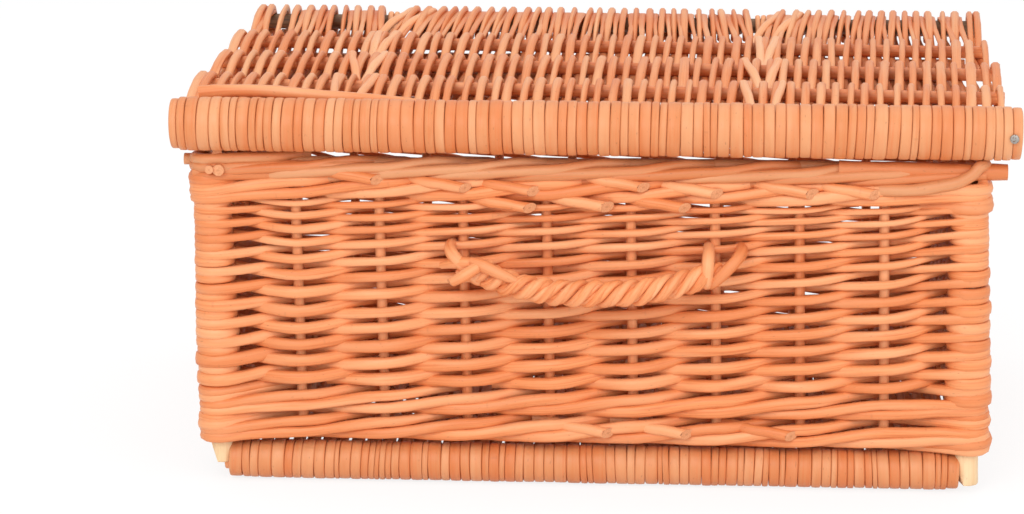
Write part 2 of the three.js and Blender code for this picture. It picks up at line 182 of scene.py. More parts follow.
class RodBundle:
    """Swept willow rods that become one mesh. Paths and sizes are in millimetres."""

    def __init__(self, name, seed):
        self.name = name
        self.random = random.Random(seed)
        self.points = []
        self.faces = []
        self.corners = []
        self.tones = []
        self.slots = []
        self.count = 0

    def add(self, path, width, thickness=None, across=None, sides=10, power=2.0, cut=(False, False),
            tone=None, slant=0.0, knobs=0.04):
        """Sweep one rod along a path; across is the direction of its width where it is flat."""
        path = np.asarray(path, dtype=float)
        number = len(path)
        chance = self.random

        def at_points(value):
            return np.broadcast_to(np.asarray(value, dtype=float), (number,))

        tone = chance.random() if tone is None else tone
        steps = np.linalg.norm(np.diff(path, axis=0), axis=1)
        run = np.concatenate(([0.0], np.cumsum(steps)))
        wobble = np.ones(number)
        for length, share in KNOB_WAVES:
            wobble += share * knobs * np.sin(run / length + chance.uniform(*WAVE_STARTS))
        widths = at_points(width) * wobble
        thicks = widths if thickness is None else at_points(thickness) * wobble
        ahead = np.gradient(path, axis=0)
        ahead /= np.linalg.norm(ahead, axis=1)[:, None]
        if across is None:
            side = carried_sides(ahead)
        else:
            across = np.asarray(across, dtype=float)
            side = across - ahead * (ahead @ across)[:, None]
            side /= np.linalg.norm(side, axis=1)[:, None]
        up = np.cross(ahead, side)
        angles = 2 * math.pi * (np.arange(sides) + 0.5) / sides
        blunt = 2 / at_points(power)[:, None]
        along_side = np.sign(np.cos(angles)) * np.abs(np.cos(angles)) ** blunt
        along_up = np.sign(np.sin(angles)) * np.abs(np.sin(angles)) ** blunt
        offsets = ((widths[:, None] * along_side)[:, :, None] * side[:, None, :]
                   + (thicks[:, None] * along_up)[:, :, None] * up[:, None, :])
        rings = path[:, None, :] + offsets
        if slant:
            rings[-1] += ahead[-1] * (slant * offsets[-1] @ SLANT_WAY)[:, None]
        self.points.append(rings.reshape(-1, 3))
        self.tones.extend([tone] * (number * sides))
        start = chance.uniform(*GRAIN_STARTS)
        first = self.count
        for i in range(number - 1):
            here = first + i * sides
            low = start + run[i] * MM
            high = start + run[i + 1] * MM
            for k in range(sides):
                other = (k + 1) % sides
                self.faces.append((here + k, here + other, here + sides + other, here + sides + k))
                left = k / sides
                right = (k + 1) / sides
                self.corners.extend((low, left, low, right, high, right, high, left))
        self.slots.extend([0] * ((number - 1) * sides))
        self.cap(range(first + sides - 1, first - 1, -1), sides, cut[0])
        last = first + (number - 1) * sides
        self.cap(range(last, last + sides), sides, cut[1])
        self.count += number * sides

    def cap(self, corners, sides, is_cut):
        """Close one end; a cut end shows the pith and takes the second material."""
        self.faces.append(tuple(corners))
        for k in range(sides):
            angle = 2 * math.pi * k / sides
            self.corners.extend((0.5 + 0.5 * math.cos(angle), 0.5 + 0.5 * math.sin(angle)))
        self.slots.append(1 if is_cut else 0)

    def make(self, finish):
        """Build the mesh object at the origin, with a finish and its cut ends."""
        mesh = bpy.data.meshes.new(self.name)
        mesh.from_pydata((np.concatenate(self.points) * MM).tolist(), [], self.faces)
        for label in (finish, "cut"):
            mesh.materials.append(finish_of(label))
        mesh.uv_layers.new(name="rod").data.foreach_set("uv", self.corners)
        tone = mesh.attributes.new("rod_tone", "FLOAT", "POINT")
        tone.data.foreach_set("value", self.tones)
        mesh.polygons.foreach_set("material_index", self.slots)
        mesh.polygons.foreach_set("use_smooth", [True] * len(self.faces))
        mesh.update()
        mesh.set_sharp_from_angle(angle=SHARP_ANGLE)
        piece = bpy.data.objects.new(self.name, mesh)
        bpy.context.collection.objects.link(piece)
        return piece


def carried_sides(ahead):
    """Side directions carried along a path without twisting."""
    guide = np.array((0.0, 0.0, 1.0)) if abs(ahead[0][2]) < 0.8 else np.array((1.0, 0.0, 0.0))
    sides = np.empty_like(ahead)
    side = guide
    for i, direction in enumerate(ahead):
        side = side - direction * (side @ direction)
        side = side / np.linalg.norm(side)
        sides[i] = side
    return sides


def eased(share):
    """Share of a bend, slow at both ends."""
    return (1 - math.cos(math.pi * share)) / 2


def woven(nodes, steps):
    """Points of a rod between crossings given as place, offset and height."""
    points = []
    for (s0, o0, z0), (s1, o1, z1) in zip(nodes, nodes[1:]):
        for i in range(steps):
            share = i / steps
            bend = eased(share)
            points.append((s0 + (s1 - s0) * share, o0 + (o1 - o0) * bend,
                           z0 + (z1 - z0) * (share + bend) / 2))
    points.append(nodes[-1])
    return points


# Sideways shift of the walls' top, to the left
WALL_LEAN = -2.6


def leaned(height):
    """Sideways shift of the walls at a height."""
    return WALL_LEAN * (height - WALL_FOOT) / (WALL_TOP - WALL_FOOT)


def in_wall(wall, points):
    """Places along, out of and up a wall, brought into the shared frame."""
    points = np.asarray(points, dtype=float)
    turn = math.radians(wall["turn"])
    x = points[:, 0]
    y = -wall["away"] - points[:, 1]
    return np.stack((x * math.cos(turn) - y * math.sin(turn) + leaned(points[:, 2]),
                     x * math.sin(turn) + y * math.cos(turn) + CENTRE_Y,
                     points[:, 2]), axis=1)


def is_long(wall):
    """Whether a wall is the front or the back."""
    return wall["turn"] % 180 == 0


def stake_place(wall, number):
    """Place along a wall of a stake; the posts are number 0 and the last stake plus 1."""
    return wall["length"] * (number / (wall["stakes"] + 1) - 0.5)


# Way along the bend round half a post, and how far from a post the outline starts to swell
POST_TURN = 6.5
POST_SWELL = 16.0
# Ways round the walls in plan to the uprights, from the front left post, and the full round
UPRIGHTS = []
ROUND = 0.0
for _wall in WALLS:
    UPRIGHTS.append(ROUND)
    for _number in range(1, _wall["stakes"] + 1):
        UPRIGHTS.append(ROUND + POST_TURN + _wall["length"] * _number / (_wall["stakes"] + 1))
    ROUND += _wall["length"] + 2 * POST_TURN
# Numbers of the posts among the uprights
POST_NUMBERS = tuple(sum(wall["stakes"] + 1 for wall in WALLS[:index]) for index in range(4))


def upright_place(number):
    """Way along the outline to an upright, counted on past a full round."""
    turns, rest = divmod(number, len(UPRIGHTS))
    whole = int(rest)
    following = UPRIGHTS[whole + 1] if whole + 1 < len(UPRIGHTS) else ROUND
    return turns * ROUND + UPRIGHTS[whole] + (rest - whole) * (following - UPRIGHTS[whole])


def on_outline(way, offset, height):
    """Point at a way along the outline, out from the uprights' middles, bent round the posts."""
    way %= ROUND
    for wall in WALLS:
        if way <= wall["length"] + 2 * POST_TURN:
            break
        way -= wall["length"] + 2 * POST_TURN
    half = wall["length"] / 2
    along = way - POST_TURN - half
    past = abs(along) - half
    if offset > 0:
        near = min(1.0, max(0.0, 1 + past / POST_SWELL))
        offset += (POST_RADIUS - STAKE_RADIUS) * eased(near) * min(1.0, offset / (2 * STAKE_RADIUS))
    if past <= 0:
        return in_wall(wall, [(along, offset, height)])[0]
    bend = math.radians(45 * past / POST_TURN)
    side = math.copysign(half + offset * math.sin(bend), along)
    return in_wall(wall, [(side, offset * math.cos(bend), height)])[0]


# Distance between the points of a rod round the basket
OUTLINE_STEP = 3.5


def outline_rod(nodes):
    """Points of a rod round the basket through uprights given as number, offset and height."""
    ways = [(upright_place(number), offset, height) for number, offset, height in nodes]
    points = []
    for first, second in zip(ways, ways[1:]):
        steps = max(3, round((second[0] - first[0]) / OUTLINE_STEP))
        points.extend(woven([first, second], steps)[:-1])
    points.append(ways[-1])
    return [on_outline(*point) for point in points]


# Materials


def new_group(name, inputs, outputs):
    """An empty shader node group with its sockets."""
    group = bpy.data.node_groups.new(name, "ShaderNodeTree")
    for label, kind, value in inputs:
        socket = group.interface.new_socket(label, in_out="INPUT", socket_type=kind)
        socket.default_value = value
    for label, kind in outputs:
        group.interface.new_socket(label, in_out="OUTPUT", socket_type=kind)
    return group, group.nodes.new("NodeGroupInput"), group.nodes.new("NodeGroupOutput")


def math_node(tree, operation, first, second=None, third=None):
    """A Math node whose inputs are sockets or numbers; returns its output."""
    node = tree.nodes.new("ShaderNodeMath")
    node.operation = operation
    for index, value in enumerate((first, second, third)):
        if value is None:
            continue
        if isinstance(value, (int, float)):
            node.inputs[index].default_value = value
        else:
            tree.links.new(value, node.inputs[index])
    return node.outputs[0]


def mix_node(tree, factor, first, second):
    """A colour Mix node whose inputs are sockets or values; returns its output."""
    node = tree.nodes.new("ShaderNodeMix")
    node.data_type = "RGBA"
    for index, value in ((0, factor), (6, first), (7, second)):
        if isinstance(value, bpy.types.NodeSocket):
            tree.links.new(value, node.inputs[index])
        else:
            node.inputs[index].default_value = value
    return node.outputs[2]


def range_node(tree, value, low, high, to_low=0.0, to_high=1.0):
    """A clamped Map Range node; returns its output."""
    node = tree.nodes.new("ShaderNodeMapRange")
    tree.links.new(value, node.inputs[0])
    for index, number in enumerate((low, high, to_low, to_high), start=1):
        node.inputs[index].default_value = number
    return node.outputs[0]


def noise_node(tree, vector, scale, detail=2.0, rough=0.5):
    """A Noise texture on a vector; returns its value."""
    node = tree.nodes.new("ShaderNodeTexNoise")
    tree.links.new(vector, node.inputs["Vector"])
    node.inputs["Scale"].default_value = scale
    node.inputs["Detail"].default_value = detail
    node.inputs["Roughness"].default_value = rough
    return node.outputs[0]


def new_material(name):
    """A material with its node tree and its shader."""
    material = bpy.data.materials.new(name)
    material.use_nodes = True
    tree = material.node_tree
    return material, tree, tree.nodes["Principled BSDF"]


def add_bump(tree, shader, height, strength, distance):
    """Relief on a shader from a height."""
    relief = tree.nodes.new("ShaderNodeBump")
    relief.inputs["Strength"].default_value = strength
    relief.inputs["Distance"].default_value = distance
    tree.links.new(height, relief.inputs["Height"])
    tree.links.new(relief.outputs["Normal"], shader.inputs["Normal"])


# Marks of the willow: colour, strength of a leaf scar, leaf scars in a metre of rod
MARK_COLOUR = (0.22, 0.075, 0.03, 1)
SCAR_STRENGTH = 0.12
SCARS = 19.0


def willow_group():
    """Grain, tone and leaf scars of a willow rod, read along and round the rod."""
    group, entry, leave = new_group(
        "Willow grain",
        (("Wood", "NodeSocketColor", (0.8, 0.4, 0.2, 1)),
         ("Deep", "NodeSocketColor", (0.6, 0.2, 0.1, 1)),
         ("Pale", "NodeSocketColor", (0.9, 0.6, 0.3, 1)),
         ("Spread", "NodeSocketFloat", 1.0)),
        (("Color", "NodeSocketColor"), ("Height", "NodeSocketFloat"), ("Roughness", "NodeSocketFloat")))
    uv = group.nodes.new("ShaderNodeUVMap")
    uv.uv_map = "rod"
    split = group.nodes.new("ShaderNodeSeparateXYZ")
    group.links.new(uv.outputs[0], split.inputs[0])
    along = split.outputs[0]
    turn = math_node(group, "MULTIPLY", split.outputs[1], 2 * math.pi)
    tone_node = group.nodes.new("ShaderNodeAttribute")
    tone_node.attribute_name = "rod_tone"
    tone = tone_node.outputs["Fac"]

    def by_tone(number):
        return math_node(group, "MULTIPLY", tone, number)

    def rod_noise(length_scale, round_scale, detail, rough):
        join = group.nodes.new("ShaderNodeCombineXYZ")
        far = math_node(group, "MULTIPLY_ADD", along, length_scale, by_tone(91.0))
        group.links.new(far, join.inputs[0])
        for index, wave in enumerate(("COSINE", "SINE"), start=1):
            around = math_node(group, "MULTIPLY", math_node(group, wave, turn), round_scale)
            group.links.new(around, join.inputs[index])
        return noise_node(group, join.outputs[0], 1.0, detail, rough)

    # Scale along the rod, scale round it, detail and roughness of each noise
    streaks = rod_noise(26.0, 3.4, 4.0, 0.6)
    fibres = rod_noise(55.0, 11.0, 3.0, 0.6)
    patches = rod_noise(17.0, 0.5, 2.0, 0.5)
    specks = rod_noise(420.0, 3.2, 1.0, 0.5)
    # What is mixed in: its mask, the limits from and to which the mask is mapped, its colour
    colour = entry.outputs["Wood"]
    for value, limits, target in (
            (streaks, (0.44, 0.72, 0.0, 1.0), "Deep"), (patches, (0.45, 0.72, 0.0, 0.85), "Pale"),
            (tone, (0.0, 0.45, 0.55, 0.0), "Deep"), (tone, (0.6, 1.0, 0.0, 0.6), "Pale")):
        amount = math_node(group, "MULTIPLY", range_node(group, value, *limits), entry.outputs["Spread"])
        colour = mix_node(group, amount, colour, entry.outputs[target])
    ring = math_node(group, "FRACT", math_node(group, "MULTIPLY_ADD", along, SCARS, by_tone(13.0)))
    from_ring = math_node(group, "ABSOLUTE", math_node(group, "SUBTRACT", ring, 0.5))
    near_ring = range_node(group, from_ring, 0.004, 0.012, 1.0, 0.0)
    facing = math_node(group, "COSINE", math_node(group, "ADD", turn, by_tone(47.0)))
    scar = math_node(group, "MULTIPLY", near_ring, range_node(group, facing, 0.82, 0.97))
    speck = range_node(group, specks, 0.70, 0.80, 0.0, 0.35)
    mark = math_node(group, "MAXIMUM", math_node(group, "MULTIPLY", scar, SCAR_STRENGTH), speck)
    group.links.new(mix_node(group, mark, colour, MARK_COLOUR), leave.inputs["Color"])
    height = math_node(group, "MULTIPLY_ADD", fibres, 0.6, math_node(group, "MULTIPLY", streaks, 0.4))
    height = math_node(group, "MULTIPLY_ADD", scar, 0.35, height)
    group.links.new(height, leave.inputs["Height"])
    group.links.new(range_node(group, fibres, 0.3, 0.75, 0.36, 0.55), leave.inputs["Roughness"])
    return group


def wood_material(name, group, wood, deep, pale, spread=1.0, bump=0.25):
    """A willow finish made from the shared grain."""
    material, tree, shader = new_material(name)
    grain = tree.nodes.new("ShaderNodeGroup")
    grain.node_tree = group
    for label, colour in (("Wood", wood), ("Deep", deep), ("Pale", pale)):
        grain.inputs[label].default_value = (*colour, 1)
    grain.inputs["Spread"].default_value = spread
    add_bump(tree, shader, grain.outputs["Height"], bump, 0.4 * MM)
    tree.links.new(grain.outputs["Color"], shader.inputs["Base Color"])
    tree.links.new(grain.outputs["Roughness"], shader.inputs["Roughness"])
    shader.inputs["Specular IOR Level"].default_value = 0.4
    return material


def cut_material(name, wood, pith):
    """Sawn or knifed end of a rod, with year rings and a brown pith in the middle."""
    material, tree, shader = new_material(name)
    uv = tree.nodes.new("ShaderNodeUVMap")
    uv.uv_map = "rod"
    away = tree.nodes.new("ShaderNodeVectorMath")
    away.operation = "DISTANCE"
    tree.links.new(uv.outputs[0], away.inputs[0])
    away.inputs[1].default_value = (0.5, 0.5, 0.0)
    radius = away.outputs["Value"]
    rings = math_node(tree, "SINE", math_node(tree, "MULTIPLY", radius, 70.0))
    place = tree.nodes.new("ShaderNodeTexCoord")
    grain = noise_node(tree, place.outputs["Object"], 1400.0, 3.0)
    ringed = math_node(tree, "MULTIPLY_ADD", rings, 0.12, grain)
    ring_colour = (wood[0] * 0.8, wood[1] * 0.66, wood[2] * 0.55, 1)
    colour = mix_node(tree, range_node(tree, ringed, 0.3, 0.8), (*wood, 1), ring_colour)
    for limits in ((0.07, 0.13, 0.9, 0.0), (0.42, 0.5, 0.0, 0.6)):
        colour = mix_node(tree, range_node(tree, radius, *limits), colour, (*pith, 1))
    tree.links.new(colour, shader.inputs["Base Color"])
    tree.links.new(range_node(tree, grain, 0.2, 0.8, 0.6, 0.85), shader.inputs["Roughness"])
    add_bump(tree, shader, grain, 0.3, 0.3 * MM)
    return material


RUST = (0.16, 0.07, 0.03, 1)


def steel_material(name, colour):
    """Dull steel of a nail head with rust spots."""
    material, tree, shader = new_material(name)
    place = tree.nodes.new("ShaderNodeTexCoord")
    spots = noise_node(tree, place.outputs["Object"], 900.0, 4.0)
    rust = range_node(tree, spots, 0.52, 0.66)
    tree.links.new(mix_node(tree, rust, (*colour, 1), RUST), shader.inputs["Base Color"])
    tree.links.new(range_node(tree, spots, 0.4, 0.66, 0.38, 0.8), shader.inputs["Roughness"])
    tree.links.new(range_node(tree, rust, 0.0, 1.0, 1.0, 0.0), shader.inputs["Metallic"])
    return material


def dimmed(colour, share):
    """A darker colour."""
    return tuple(part * share for part in colour)


# Materials by short name
FINISHES = {}


def finish_of(label):
    """A material by its short name; all of them are built when the first one is asked for."""
    if not FINISHES:
        make_finishes(bpy.context.scene.basket_colours)
    return FINISHES[label]


def make_finishes(colours):
    """Build every material once."""
    group = willow_group()
    buff = tuple(colours.buff)
    deep = tuple(colours.buff_deep)
    pale = tuple(colours.buff_pale)
    FINISHES["buff"] = wood_material("Buff willow", group, buff, deep, pale, 1.15)
    FINISHES["split"] = wood_material(
        "Split willow wraps", group, dimmed(buff, 0.8), deep, dimmed(pale, 0.88), 1.05, 0.35)
    # The border is the buff willow darkened, its pale too: painted shade of the lid's roll that
    # overhangs it
    FINISHES["border"] = wood_material(
        "Border willow, painted shade", group, dimmed(buff, 0.72), deep, dimmed(pale, 0.81), 1.15)
    FINISHES["mat"] = wood_material(
        "Lid mat willow", group, dimmed(buff, 0.91), deep, (0.82, 0.41, 0.2))
    FINISHES["tie"] = wood_material(
        "Pale tie willow", group, (0.83, 0.39, 0.185), buff, (0.87, 0.5, 0.28), 0.8)
    FINISHES["peeled"] = wood_material(
        "Peeled post willow", group, tuple(colours.peeled), (0.72, 0.42, 0.19), (0.92, 0.72, 0.46), 0.8)
    FINISHES["bark"] = wood_material(
        "Bark willow", group, tuple(colours.bark), (0.075, 0.04, 0.022), (0.36, 0.22, 0.12), 1.2, 0.8)
    FINISHES["cut"] = cut_material("Cut willow end", (0.78, 0.36, 0.175), (0.6, 0.24, 0.1))
    FINISHES["steel"] = steel_material("Nail steel", tuple(colours.steel))


# Pieces


# Modelled sticks: sides, length of a section, roughness and worn rim as shares of the radius
STICK_SIDES = 16
SECTION = 9 * MM
STICK_ROUGH = 0.05
STICK_RIM = 0.12


def straight_stick(name, start, end, radius, seed, finish, cuts=()):
    """Model a straight stick by hand: a cylinder cut into lengths, roughened, with worn rims.

    Each of the cuts is a point and a direction; the wood beyond it in that direction goes.
    """
    start = Vector(start) * MM
    end = Vector(end) * MM
    run = end - start
    radius *= MM
    bpy.ops.object.select_all(action="DESELECT")
    bpy.ops.mesh.primitive_cylinder_add(
        vertices=STICK_SIDES, radius=radius, depth=run.length, location=(start + end) / 2,
        rotation=run.to_track_quat("Z", "Y").to_euler())
    stick = bpy.context.active_object
    stick.name = name
    bpy.ops.object.transform_apply(location=True, rotation=True, scale=True)
    ahead = run.normalized()
    bpy.ops.object.mode_set(mode="EDIT")
    bpy.ops.mesh.select_mode(type="EDGE")
    bpy.ops.mesh.select_all(action="DESELECT")
    shape = bmesh.from_edit_mesh(stick.data)
    for edge in shape.edges:
        way = (edge.verts[1].co - edge.verts[0].co).normalized()
        edge.select = abs(way.dot(ahead)) > 0.9
    bmesh.update_edit_mesh(stick.data)
    bpy.ops.mesh.subdivide(number_cuts=max(6, round(run.length / SECTION)))
    bpy.ops.mesh.select_all(action="SELECT")
    bpy.ops.transform.vertex_random(offset=radius * STICK_ROUGH, seed=seed)
    bpy.ops.mesh.select_all(action="DESELECT")
    shape = bmesh.from_edit_mesh(stick.data)
    for face in shape.faces:
        if len(face.verts) == STICK_SIDES:
            for edge in face.edges:
                edge.select = True
    bmesh.update_edit_mesh(stick.data)
    bpy.ops.mesh.bevel(offset=radius * STICK_RIM, segments=2, affect="EDGES")
    for point, direction in cuts:
        bpy.ops.mesh.select_all(action="SELECT")
        bpy.ops.mesh.bisect(
            plane_co=Vector(point) * MM, plane_no=direction, use_fill=True, clear_outer=True)
    bpy.ops.object.mode_set(mode="OBJECT")
    bpy.ops.object.shade_smooth_by_angle(angle=SHARP_ANGLE)
    lay_grain(stick, start, ahead, random.Random(seed))
    for label in (finish, "cut"):
        stick.data.materials.append(finish_of(label))
    for face in stick.data.polygons:
        face.material_index = 1 if len(face.vertices) == STICK_SIDES else 0
    return stick


def lay_grain(stick, start, ahead, chance):
    """Give a straight stick its along and round coordinates and its tone."""
    mesh = stick.data
    side = ahead.orthogonal().normalized()
    other = ahead.cross(side)
    shift = chance.uniform(*GRAIN_STARTS)
    for spare in list(mesh.uv_layers):
        mesh.uv_layers.remove(spare)
    layer = mesh.uv_layers.new(name="rod")
    for face in mesh.polygons:
        is_end = len(face.vertices) == STICK_SIDES
        angles = []
        for loop in face.loop_indices:
            away = mesh.vertices[mesh.loops[loop].vertex_index].co - start
            angles.append(math.atan2(away.dot(other), away.dot(side)) / (2 * math.pi) % 1.0)
        wraps = max(angles) - min(angles) > 0.5
        for loop, angle in zip(face.loop_indices, angles):
            away = mesh.vertices[mesh.loops[loop].vertex_index].co - start
            if is_end:
                turn = 2 * math.pi * angle
                layer.data[loop].uv = (0.5 + 0.5 * math.cos(turn), 0.5 + 0.5 * math.sin(turn))
            else:
                seam = 1 if wraps and angle < 0.5 else 0
                layer.data[loop].uv = (shift + away.dot(ahead), angle + seam)
    tone = mesh.attributes.new("rod_tone", "FLOAT", "POINT")
    tone.data.foreach_set("value", [chance.random()] * len(mesh.vertices))


def joined(name, parts):
    """Join modelled parts into one piece."""
    bpy.ops.object.select_all(action="DESELECT")
    for part in parts:
        part.select_set(True)
    bpy.context.view_layer.objects.active = parts[0]
    if len(parts) > 1:
        bpy.ops.object.join()
    piece = bpy.context.active_object
    piece.name = name
    piece.data.name = name
    return piece


def hand_over(piece, body, slot, *nodes):
    """Tie a finished piece to its body and hide the nodes it stands for. Its slot is not used."""
    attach(piece, body)
    if nodes:
        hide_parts(*nodes)


# Posts with the lift of their feet and the side to which the foot is cut away
POST_FEET = (("front_left", 4.0, -1.0), ("front_right", -1.2, -0.8), ("back_left", 0.4, -0.9),
             ("back_right", -0.6, 1.1))
# Place of a foot's cut beside the middle of its post
FOOT_CUT = 2.6
# Posts and stakes are a little thicker than their solids, and the stakes start higher
POST_SHARE = 1.04
STAKE_SHARE = 1.05
STAKE_LIFT = 3.0


class BASKET_OT_posts(bpy.types.Operator):
    """Corner posts with knife-cut feet"""

    bl_idname = "basket.posts"
    bl_label = "Corner posts"

    def execute(self, context):
        parts = []
        nodes = []
        for index, (place, lift, slope) in enumerate(POST_FEET):
            node = "post_" + place
            low, high = extent(node)
            x, y, _ = middle(node)
            foot = low[2] + lift
            cuts = [((x + math.copysign(FOOT_CUT, slope), y, foot), (slope, -0.2, -0.3))]
            parts.append(straight_stick(node + "_stick", (x, y, foot), (x + leaned(high[2]), y, high[2]),
                                        POST_RADIUS * POST_SHARE, seed=11 + index, finish="peeled",
                                        cuts=cuts))
            nodes.append(node)
        hand_over(joined("corner_posts", parts), "basket", "peeled_willow", *nodes)
        return {"FINISHED"}


class BASKET_OT_stakes(bpy.types.Operator):
    """Upright stakes of the four walls"""

    bl_idname = "basket.stakes"
    bl_label = "Stakes"

    def execute(self, context):
        for index, wall in enumerate(WALLS):
            parts = []
            nodes = []
            for number in range(1, wall["stakes"] + 1):
                node = "stake_%s_%d" % (wall["name"], number)
                low, high = extent(node)
                x, y, _ = middle(node)
                parts.append(straight_stick(node + "_stick", (x, y, low[2] + STAKE_LIFT),
                                            (x + leaned(high[2]), y, high[2]),
                                            STAKE_RADIUS * STAKE_SHARE, seed=100 * index + number,
                                            finish="buff"))
                nodes.append(node)
            hand_over(joined("stakes_" + wall["name"], parts), "basket", "buff_willow", *nodes)
        return {"FINISHED"}


# Share by which the rows of the open weave lie wider apart at its foot; to the top they close up
ROW_CROWD = 0.1
# Thickness of the back wall's rods as a share of the other walls' rods, so that light comes in
BACK_SLIM = 0.66
# Uneven thickness of the rods, as a share, and uneven height of their crossings
ROD_UNEVEN = 0.07
CROSSING_UNEVEN = 0.32
# Rows by which the weave is higher at the top of the posts and lower at the foot of the end walls
POST_RISE = 0.9
END_SINK = 0.65
# Rows by which rods may pass the first and the last row, at the posts and at the stakes
PAST_POST = (-1.2, 1.1)
PAST_STAKE = (-0.2, 0.2)
# How far the rods are pressed into the uprights
PRESSED = 0.2
# An end between two stakes: its way, as a share of the stakes' distance, its dip inside and its rows
TAIL_WAY = 0.7
TAIL_DIP = 0.8
TAIL_ROWS = 0.6
# Steps of a rod between two uprights and of its turn round a post, and the rows it climbs there
ROD_STEPS = 9
TURN_STEPS = 12
TURN_ROWS = 0.1
# Least radius of a rod at a post, as a share of a row, and the distances between which it fades
POST_WIDTH = 0.58
WIDTH_FADE = (4.0, 16.0)
# How square a rod is at a post and away from it, and the distances between which that changes
SQUARENESS = (4.2, 2.5)
SQUARE_FADE = (2.0, 14.0)
# Taper of a rod from the left end of its wall to the right end
ROD_TAPER = (1.03, 0.86)


def rod_nodes(wall, crossings, pitch):
    """A rod's crossings as places in the wall, with the ends that stop inside short of a post."""
    last = wall["stakes"] + 1
    tail = TAIL_WAY * (wall["length"] / last)
    nodes = [(stake_place(wall, number), offset, height) for number, offset, height in crossings]
    if crossings[0][0] > 0:
        place, offset, height = nodes[0]
        nodes.insert(0, (place - tail, -abs(offset) * TAIL_DIP, height - TAIL_ROWS * pitch))
    if crossings[-1][0] < last:
        place, offset, height = nodes[-1]
        nodes.append((place + tail, -abs(offset) * TAIL_DIP, height + TAIL_ROWS * pitch))
    return nodes


def post_turn(wall, crossing, way, pitch):
    """Half turn of a rod round the post at the left (-1) or the right (1) end of a wall."""
    number, offset, height = crossing
    centre = stake_place(wall, number)
    points = []
    for step in range(1, TURN_STEPS + 1):
        angle = math.radians(90 - way * step * 180 / TURN_STEPS)
        climb = way * TURN_ROWS * pitch * step / TURN_STEPS
        points.append((centre + offset * math.cos(angle), offset * math.sin(angle), height + climb))
    return points


def rand_rods(bundle, wall, sizes):
    """Rods of a wall's open weave, each a row higher at every stake and turned round the posts."""
    chance = bundle.random
    foot = WALL_FOOT + sizes.rand_foot / MM
    top = WALL_FOOT + sizes.rand_top / MM
    pitch = (top - foot) / sizes.rand_rows
    lift = 0 if is_long(wall) else 1
    slim = BACK_SLIM if wall["name"] == "back" else 1.0
    last = wall["stakes"] + 1

    def height_at(row):
        share = row / sizes.rand_rows
        return foot + (top - foot) * share * (1 + ROW_CROWD * (1 - share ** 4))

    def radius_at(z):
        return np.interp(z, (foot, (foot + top) / 2, top),
                         (sizes.rod_foot / MM, sizes.rod_middle / MM, sizes.rod_top / MM))

    for lane in range(-last, sizes.rand_rows + 1):
        stretch = slim * (1 + chance.uniform(-ROD_UNEVEN, ROD_UNEVEN))
        crossings = []
        for number in range(last + 1):
            outside = 1 if (lane + number) % 2 == 0 else -1
            at_post = number in (0, last)
            row = lane + number + lift + 0.5
            if at_post:
                row += POST_RISE * row / sizes.rand_rows
            else:
                row -= END_SINK * lift * (1 - row / sizes.rand_rows)
            if number == 0 and outside < 0:
                row += 1.0
            below, above = PAST_POST if at_post else PAST_STAKE
            if below <= row <= sizes.rand_rows + above:
                height = height_at(row)
                upright = POST_RADIUS if at_post else STAKE_RADIUS
                offset = outside * (upright + radius_at(height) * stretch - PRESSED)
                crossings.append((number, offset, height + chance.gauss(0, CROSSING_UNEVEN)))
        if not crossings:
            continue
        nodes = rod_nodes(wall, crossings, pitch)
        if len(nodes) < 2:
            continue
        points = woven(nodes, ROD_STEPS)
        if crossings[0][0] == 0 and crossings[0][1] > 0:
            points = post_turn(wall, crossings[0], -1, pitch)[::-1] + points
        if crossings[-1][0] == last and crossings[-1][1] > 0:
            points = points + post_turn(wall, crossings[-1], 1, pitch)
        path = in_wall(wall, points)
        along = np.array(points)[:, 0]
        from_post = wall["length"] / 2 - np.abs(along)
        least = np.interp(from_post, WIDTH_FADE, (POST_WIDTH * pitch, 0.0))
        thin = np.interp(along / wall["length"], (-0.5, 0.5), ROD_TAPER)
        square = np.interp(from_post, SQUARE_FADE, SQUARENESS)
        bundle.add(path, np.maximum(radius_at(path[:, 2]) * stretch * thin, least), power=square)


class BASKET_OT_walls(bpy.types.Operator):
    """Open weave of the four walls between the wales"""

    bl_idname = "basket.walls"
    bl_label = "Woven walls"

    def execute(self, context):
        for index, wall in enumerate(WALLS):
            bundle = RodBundle("rand_" + wall["name"], seed=300 + index)
            rand_rods(bundle, wall, context.scene.basket_sizes)
            hand_over(bundle.make("buff"), "basket", "buff_willow", "weave_" + wall["name"])
        return {"FINISHED"}


# Share of a wale's rise that a rod has climbed at each of the four uprights it passes
STAKE_CLIMB = (0.0, 0.27, 0.75, 1.0)
POST_CLIMB = (0.0, 0.28, 0.56, 0.84)
# Uneven thickness of a wale's rods, as a share, and uneven height
WALE_UNEVEN = 0.1
LEVEL_UNEVEN = 0.3
# Shares of the way along a wale's rod and of its thickness there
WALE_TAPER = ((0, 0.15, 0.85, 1), (0.85, 1, 1, 0.8))
# Foot, rise and bulge of the rounds of both wales
BOTTOM_ROUNDS = ((1.7, 11.2, 0.5), (14.4, 11.2, 0.0))
TOP_ROUNDS = ((1.5, 11.0, 0.3),)
# Places along the front wall and heights of the butts of both wales, and their share of a rod's radius
BOTTOM_BUTTS = ((8.0, 7.8), (45.0, 7.8), (94.0, 7.8))
TOP_BUTTS = ((-98.0, 12.0), (-57.0, 8.6), (-25.0, 7.5), (26.0, 10.0), (60.0, 7.5), (104.0, 8.0),
             (133.0, 8.0), (-27.0, -0.5), (9.0, 0.5), (45.0, 0.5))
BUTT_SHARE = 0.95


